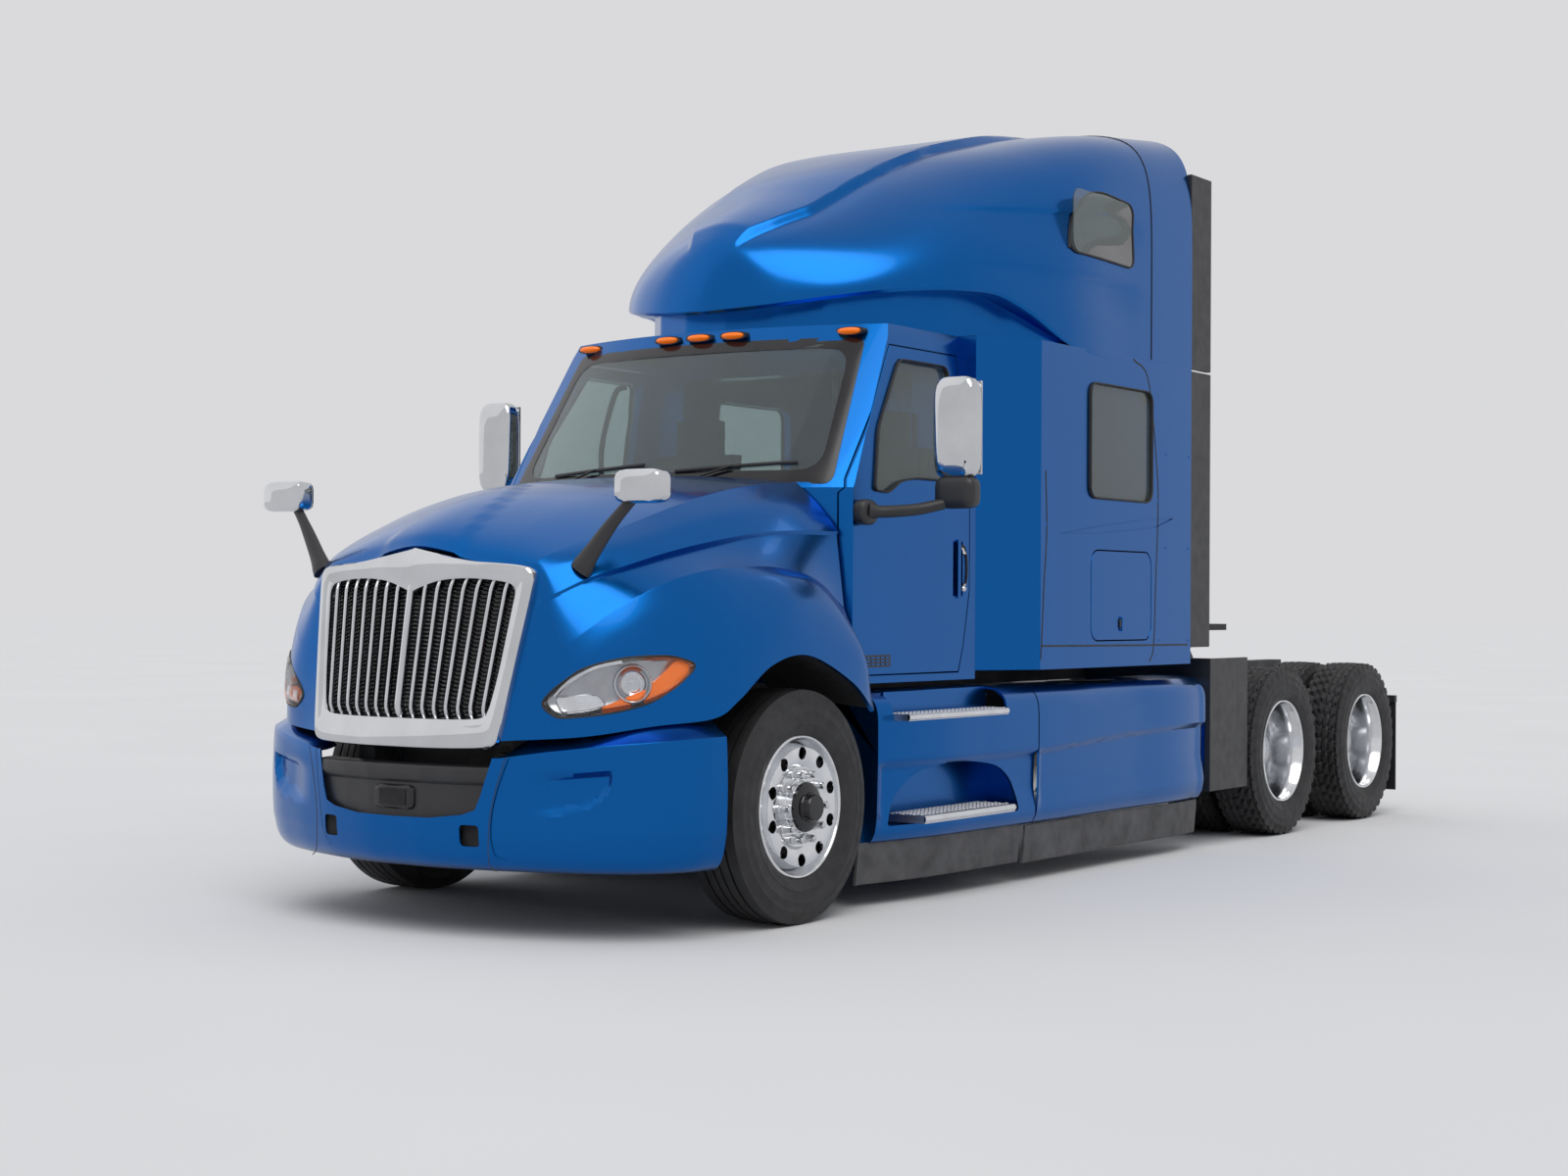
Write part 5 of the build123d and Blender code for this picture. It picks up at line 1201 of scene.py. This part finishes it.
def flank_line(points, half=.0055, proud=.002):
    """Thin dark line along the flank."""
    return rod(oval(proud, half, 6), on_sleeper(smooth_path(points, 40)), (0, 0, 1))


def crease_wedge():
    """Wedge on the flank: a raised ring between its outline and the same outline drawn in by 3%."""
    loop = dense(rounded(np.array(CREASE), .02, 4), 3)
    return band(on_sleeper(loop, .0012), on_sleeper(loop * .97 + CREASE_MIDDLE * .03, .0012),
                ((0, -.004), (0, .005), (.5, .007), (1, .005), (1, -.004)), (1, 0, 0))


def rivet(y, z):
    """Domed rivet on the flank."""
    return turned(((0, .004), (.006, .003), (.009, 0), (.009, -.002)), on_sleeper([(y, z)])[0], (1, 0, 0), 12)


piece("sleeper_seams", "chassis", SEAL, *both(*map(flank_line, (CHEEK_SEAM, BODY_LINE, FLARE_SEAM))), merge=True)
piece("sleeper_pressings", "chassis", PAINT, *both(crease_wedge(), *(rivet(y, z) for y, z in RIVETS)), merge=True)
VENT = slab((1.030, .560, 1.073), (1.0365, .885, 1.128))
SLOTS = [slab((1.034, .60 + .04 * k, 1.082 + .015 * row), (1.039, .628 + .04 * k, 1.089 + .015 * row))
         for k in range(7) for row in range(3)]
SIDE_MARKER = puffed((1.028, .534, 1.085), (1.044, .556, 1.125), 3.0, 10, 16)
LATCH = puffed((1.198, 2.862, 1.240), (1.208, 2.886, 1.290), 4.0)
for name, side in SIDES:
    piece("vent_pad_" + name, "door_" + name, TRIM, sided(VENT, side))
    piece("vent_slots_" + name, "door_" + name, PAINT, sided(joined(SLOTS), side))
    piece("side_marker_" + name, "door_" + name, AMBER, sided(SIDE_MARKER, side), merge=True)
    piece("hatch_latch_" + name, "hatch_" + name, GLOSSY_TRIM, sided(LATCH, side), merge=True)

SEAL_CORNERS = [(SLEEPER_HALF + .002, y, z) for y, z in ((2.52, 1.91), (3.23, 1.91), (3.23, 2.50), (2.52, 2.50))]
SIDE_SEAL = rimmed(oval(.006, .014, 8), dense(rounded(SEAL_CORNERS, .07, 8), 3), (1, 0, 0))
piece("sleeper_window_seals", "chassis", SEAL, *both(SIDE_SEAL), merge=True)

BAR_PATH = smooth_path(((.62, 1.02, 2.44), (.66, .98, 2.40), (.70, .93, 2.15), (.68, .90, 1.98)), 20)
piece("grab_handles", "chassis", SHADED_CABIN, *[rod(oval(.014, .014, 8), BAR_PATH * (side, 1, 1)) for side in (1, -1)])


# ------------------------------------------------------------------ marker lamps

def marker(x):
    """Oval marker lamp over the windshield."""
    bow = SCREEN_BOW * x * x
    return puffed((x - .062, .76 + bow, 2.613), (x + .062, .83 + bow, 2.645), 2.4, 12, 24)


MARKER_XS = (-.776, -.196, 0, .196, .776)
piece("marker_lenses", "chassis", AMBER, *[marker(x) for x in MARKER_XS], merge=True, replaces=("marker_lamps",))
piece("marker_rims", "chassis", TRIM, *[
    rod(oval(.076, .020, 20, 2.6), [(x, y + SCREEN_BOW * x * x, 2.629) for y in (.792, .812, .835)])
    for x in MARKER_XS])


# ------------------------------------------------------------------ chassis fairings

FAIRING_PLAN = ((.62, 1.125), (.80, 1.160), (1.05, 1.196), (1.50, 1.214), (1.96, 1.222), (3.00, 1.224),
                (3.80, 1.222), (3.93, 1.206), (3.965, 1.180))
# How far in from the plan, height, down a section from the deck to the foot
FAIRING_SECTION = ((.30, .970), (.16, .968), (.075, .958), (.026, .925), (.006, .880), (.001, .830), (0, .76),
                   (0, .68), (.001, .60), (.003, .50), (.007, .40), (.016, .335), (.040, .295), (.085, .280))


def fairing_skin(y0, y1, columns=96, rows=72):
    """Side fairing: its section carried along its plan. A long swoosh is pressed in below a line that climbs
    rearwards, and the face turns in again round a bevel along its foot."""
    y = np.linspace(y0, y1, columns)
    plan = trace(FAIRING_PLAN, y)[:, 0]
    count = len(FAIRING_SECTION)
    section = hermite(count, np.linspace(0, count - 1, rows), (2, 11)) @ np.array(FAIRING_SECTION)
    inward, z = section[:, :1], section[:, 1:]
    line = np.interp(y, (1.9, 2.10, 2.84, 3.40, 3.96), (.648, .655, .690, .705, .715))[None]
    press = ease(line - z, -.006, .030) * (1 - ease(line - z, .16, .34)) * ease(y, y0, y0 + .05)
    x = plan[None] - inward - .024 * press
    dip = .022 * ease(.62 - np.abs(y - 2.80) / .9, 0, .5) * ease(z, .80, .88) * (1 - ease(z, .90, .955))
    return stack(x, y[None], z - dip)


STEP = ((.72, .362), (1.80, .362), (1.77, .470), (1.66, .585), (1.34, .634), (1.04, .628), (.86, .580), (.75, .470))
STEP_CUT = prism(stack(1.0, *rounded(np.array(STEP), (.02, .03, .07, .12, .2, .2, .14, .08)).T), (.4, 0, 0))
TREAD_CUT = slab((1.092, .735, .864), (1.35, 1.655, 1.10))
FRONT_SKIN = quads(fairing_skin(.640, 1.956)[:, ::-1])
REAR_SKIN = quads(fairing_skin(1.966, 3.965)[:, ::-1])


def fairing_end(y, step=.012):
    """Plate that closes a fairing at y."""
    section = np.array(FAIRING_SECTION)
    x = read(FAIRING_PLAN, y) - section[:, 0]
    points = stack(x, y, section[:, 1])
    inner = [(.92, y, .28), (.92, y, .97)]
    return prism(np.concatenate((points, inner)), (0, step, 0))


for part, label, cuts in ((FRONT_SKIN, "fore", (STEP_CUT, TREAD_CUT)), (REAR_SKIN, "aft", ())):
    for name, side in SIDES:
        piece("fairing_%s_%s" % (label, name), "chassis", PAINT, sided(part, side), wall=.010, merge=True,
              cuts=[sided(cut, side) for cut in cuts])
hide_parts("chassis_fairings")
WELL = [slab((1.004, .70, .36), (1.020, 1.83, .66)), slab((1.02, .80, .640), (1.145, 1.83, .652)),
        slab((1.02, .700, .36), (1.105, .712, .648)), slab((1.02, 1.818, .36), (1.170, 1.83, .648)),
        slab((1.02, .72, .345), (1.105, 1.82, .362)), slab((1.080, .735, .84), (1.094, 1.655, .962)),
        fairing_end(.640), fairing_end(3.955)]
piece("fairing_inner", "chassis", PAINT, *both(*WELL), merge=True)


def tread(low, high):
    """Step tread: a thin plate under rows of raised dimples."""
    (x0, y0, _), (x1, y1, z1) = low, high
    x, y = np.meshgrid(np.arange(x0 + .022, x1 - .015, .030), np.arange(y0 + .025, y1 - .02, .034), indexing="ij")
    y = y + .017 * (np.arange(x.shape[0])[:, None] % 2)
    a = circle(8)
    rings = np.stack([stack(x[..., None] + r * np.cos(a), y[..., None] + r * np.sin(a), z1 + h)
                      for r, h in ((.0105, -.0005), (.0095, .0035), (.0060, .0040), (.0052, .0005))], 2)
    grid = rings.reshape(-1, 4, 8, 3)
    index = np.arange(grid.shape[0] * 32).reshape(-1, 4, 8)
    index = np.concatenate((index, index[..., :1]), 2)
    faces = np.stack((index[:, :-1, :-1], index[:, :-1, 1:], index[:, 1:, 1:], index[:, 1:, :-1]), -1).reshape(-1, 4)
    return [slab(low, high), (grid.reshape(-1, 3), [faces])]


TREADS = tread((1.094, .742, .836), (1.226, 1.648, .866)) + tread((1.022, .865, .368), (1.238, 1.695, .404))
piece("step_plates", "chassis", TREAD_PLATE, *both(*TREADS), replaces=("step_treads",))
EDGES = [rod(oval(.006, .013, 8), [(x, y, z) for y in (y0, (y0 + y1) / 2, y1)])
         for x, y0, y1, z in ((1.226, .742, 1.648, .852), (1.238, .865, 1.695, .387))]
piece("step_edges", "chassis", POLISHED, *both(*EDGES))


def skirt(y0, y1, foot=.105, top=.262, thick=.012):
    """Rubber skirt under a fairing, hung just inside its foot and leaning in a little."""
    y = np.linspace(y0, y1, 40)
    x = trace(FAIRING_PLAN, y)[:, 0] - .052
    rings = [stack(x + dx, y, z) for dx, z in ((0, top + .03), (0, top), (-.012, foot + .01), (-.016, foot),
                                               (-.016 - thick, foot), (-thick, top), (-thick, top + .03))]
    return capped(np.stack(rings, 1))


SKIRTS = [skirt(.565, 1.868), skirt(1.920, 3.945, .095, .25)]
piece("skirt_rubbers", "chassis", SKIRT, *both(*SKIRTS), replaces=("skirts",))
DECK = .9695
FILLER = turned(((.060, 0), (.058, .004), (.050, .004), (.046, -.02), (0, -.022)), (1.02, 1.80, .970), (0, 0, 1), 32)
# Black patch on the deck under the cab: painted shade of the gap between cab and fairing
GAP_SHADE_PATCH = [(x, y, DECK) for x, y in ((1.03, 2.36), (1.13, 2.60), (1.165, 2.90), (1.10, 2.93), (1.03, 2.62))]
piece("fairing_openings", "chassis", SHADE, *both(FILLER, prism(rounded(GAP_SHADE_PATCH, .02), (0, 0, .003))))


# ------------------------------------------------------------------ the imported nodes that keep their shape

# Material and bevel of each
SOFT = {"frame": (STEEL, .003), "suspension": (STEEL, .004), "front_axle": (CASTING, .006),
        "drive_axles": (CASTING, .006), "powertrain": (CASTING, .012), "fuel_tanks": (POLISHED, .008),
        "mudguards": (TRIM, .003), "tail_lamps": (RED, .004), "fifth_wheel_mount": (STEEL, .001),
        "fifth_wheel": (CASTING, .002), "side_extenders": (TRIM, .004), "dashboard": (SHADED_CABIN, .020),
        "seats_and_bunk": (SHADED_LINING, .020), "knuckle_left": (CASTING, .004), "knuckle_right": (CASTING, .004),
        "tie_rod": (STEEL, .002), "windows": (GLASS, .001), "door_glass_left": (GLASS, .001),
        "door_glass_right": (GLASS, .001)}
for node, (material, width) in SOFT.items():
    softened(node, material, width)


def steering_wheel():
    """Rim, three spokes and a boss, tilted with the column."""
    centre, tilt = np.array((.560, .960, 1.760)), math.radians(35)
    across, ahead = np.array((1, 0, 0)), np.array((0, math.cos(tilt), -math.sin(tilt)))
    up = np.cross(across, ahead)
    a = circle(72)[:, None]
    rim = centre + .215 * (np.cos(a) * across + np.sin(a) * ahead)
    parts = [rimmed(oval(.015, .014, 10), rim, up)]
    for angle in (math.radians(90), math.radians(205), math.radians(335)):
        way = math.cos(angle) * across + math.sin(angle) * ahead
        path = [centre + way * r + up * h for r, h in ((.03, -.02), (.12, -.012), (.21, 0))]
        parts.append(rod(oval(.018, .008, 10), path, up))
    return parts + [turned(((.0, .012), (.055, .008), (.070, -.010), (.060, -.04), (0, -.05)), centre, up, 32)]


piece("wheel_rim", "steering_wheel", SHADED_CABIN, *steering_wheel(), merge=True, replaces=("steering_wheel",))


# ------------------------------------------------------------------ stage

# Camera: yaw, pitch and roll in degrees, focal length in millimetres, and place from the front axle
CAMERA_TURN = (34.724, 0.384, 0.341)
CAMERA_LENS = 53.9
CAMERA_PLACE = (6.746, -8.2106, 1.358)


def camera():
    """Camera where the eye stood, turned to the left by its yaw, up by its pitch and over by its roll."""
    yaw, pitch, roll = (math.radians(a) for a in CAMERA_TURN)
    ahead = Vector((-math.sin(yaw) * math.cos(pitch), math.cos(yaw) * math.cos(pitch), math.sin(pitch)))
    right = ahead.cross(Vector((0, 0, 1))).normalized()
    up = right.cross(ahead)
    c, s = math.cos(roll), math.sin(roll)
    right, up = c * right + s * up, c * up - s * right
    data = bpy.data.cameras.new("camera")
    data.lens, data.sensor_width, data.clip_end = CAMERA_LENS, 36, 200
    obj = placed("camera", data)
    turn = Matrix((right, up, -ahead)).transposed().to_4x4()
    obj.matrix_world = Matrix.Translation(SHIFT + CAMERA_PLACE) @ turn
    bpy.context.scene.camera = obj


def sun(name, towards, energy, spread, colour=(1, 1, 1)):
    """Far lamp that shines along a direction, softened by its angle in degrees."""
    data = bpy.data.lights.new(name, "SUN")
    data.energy, data.angle, data.color = energy, math.radians(spread), colour
    placed(name, data).rotation_euler = Vector(towards).to_track_quat("-Z", "Y").to_euler()


def backdrop():
    """Pale world, at full strength where it is seen or mirrored and lower where it lights, and a pale floor."""
    world = bpy.data.worlds.new("studio")
    bpy.context.scene.world = world
    world.use_nodes = True
    tree = world.node_tree
    path, mix = tree.nodes.new("ShaderNodeLightPath"), tree.nodes.new("ShaderNodeMixShader")
    seen, light = tree.nodes["Background"], tree.nodes.new("ShaderNodeBackground")
    seen.inputs["Color"].default_value = (0.70, 0.70, 0.715, 1)
    light.inputs["Color"].default_value = (0.50, 0.51, 0.53, 1)
    ray = path.outputs["Is Camera Ray"]
    for kind in ("Is Glossy Ray", "Is Transmission Ray"):
        either = tree.nodes.new("ShaderNodeMath")
        either.operation = "MAXIMUM"
        tree.links.new(ray, either.inputs[0])
        tree.links.new(path.outputs[kind], either.inputs[1])
        ray = either.outputs[0]
    tree.links.new(ray, mix.inputs[0])
    tree.links.new(light.outputs[0], mix.inputs[1])
    tree.links.new(seen.outputs[0], mix.inputs[2])
    tree.links.new(mix.outputs[0], tree.nodes["World Output"].inputs["Surface"])
    f = Finish("studio_floor", (0.74, 0.74, 0.75), 1.0, Specular_IOR_Level=0.0)
    f.colour(f.ramp(f.noise(0.4, 2.0), (0.3, (0.73, 0.73, 0.74)), (0.7, (0.75, 0.75, 0.76))))
    data = bpy.data.meshes.new("floor")
    far = 900
    data.from_pydata([(-far, -far, 0), (far, -far, 0), (far, far, 0), (-far, far, 0)], [], [(0, 1, 2, 3)])
    data.materials.append(f.material)
    placed("floor", data)


camera()
sun("key", (-.45, .55, -1.0), 1.45, 48, (1.0, 0.99, 0.97))
sun("fill", (.8, .1, -.6), 0.35, 90)
backdrop()
bpy.context.scene.view_settings.view_transform = "Standard"
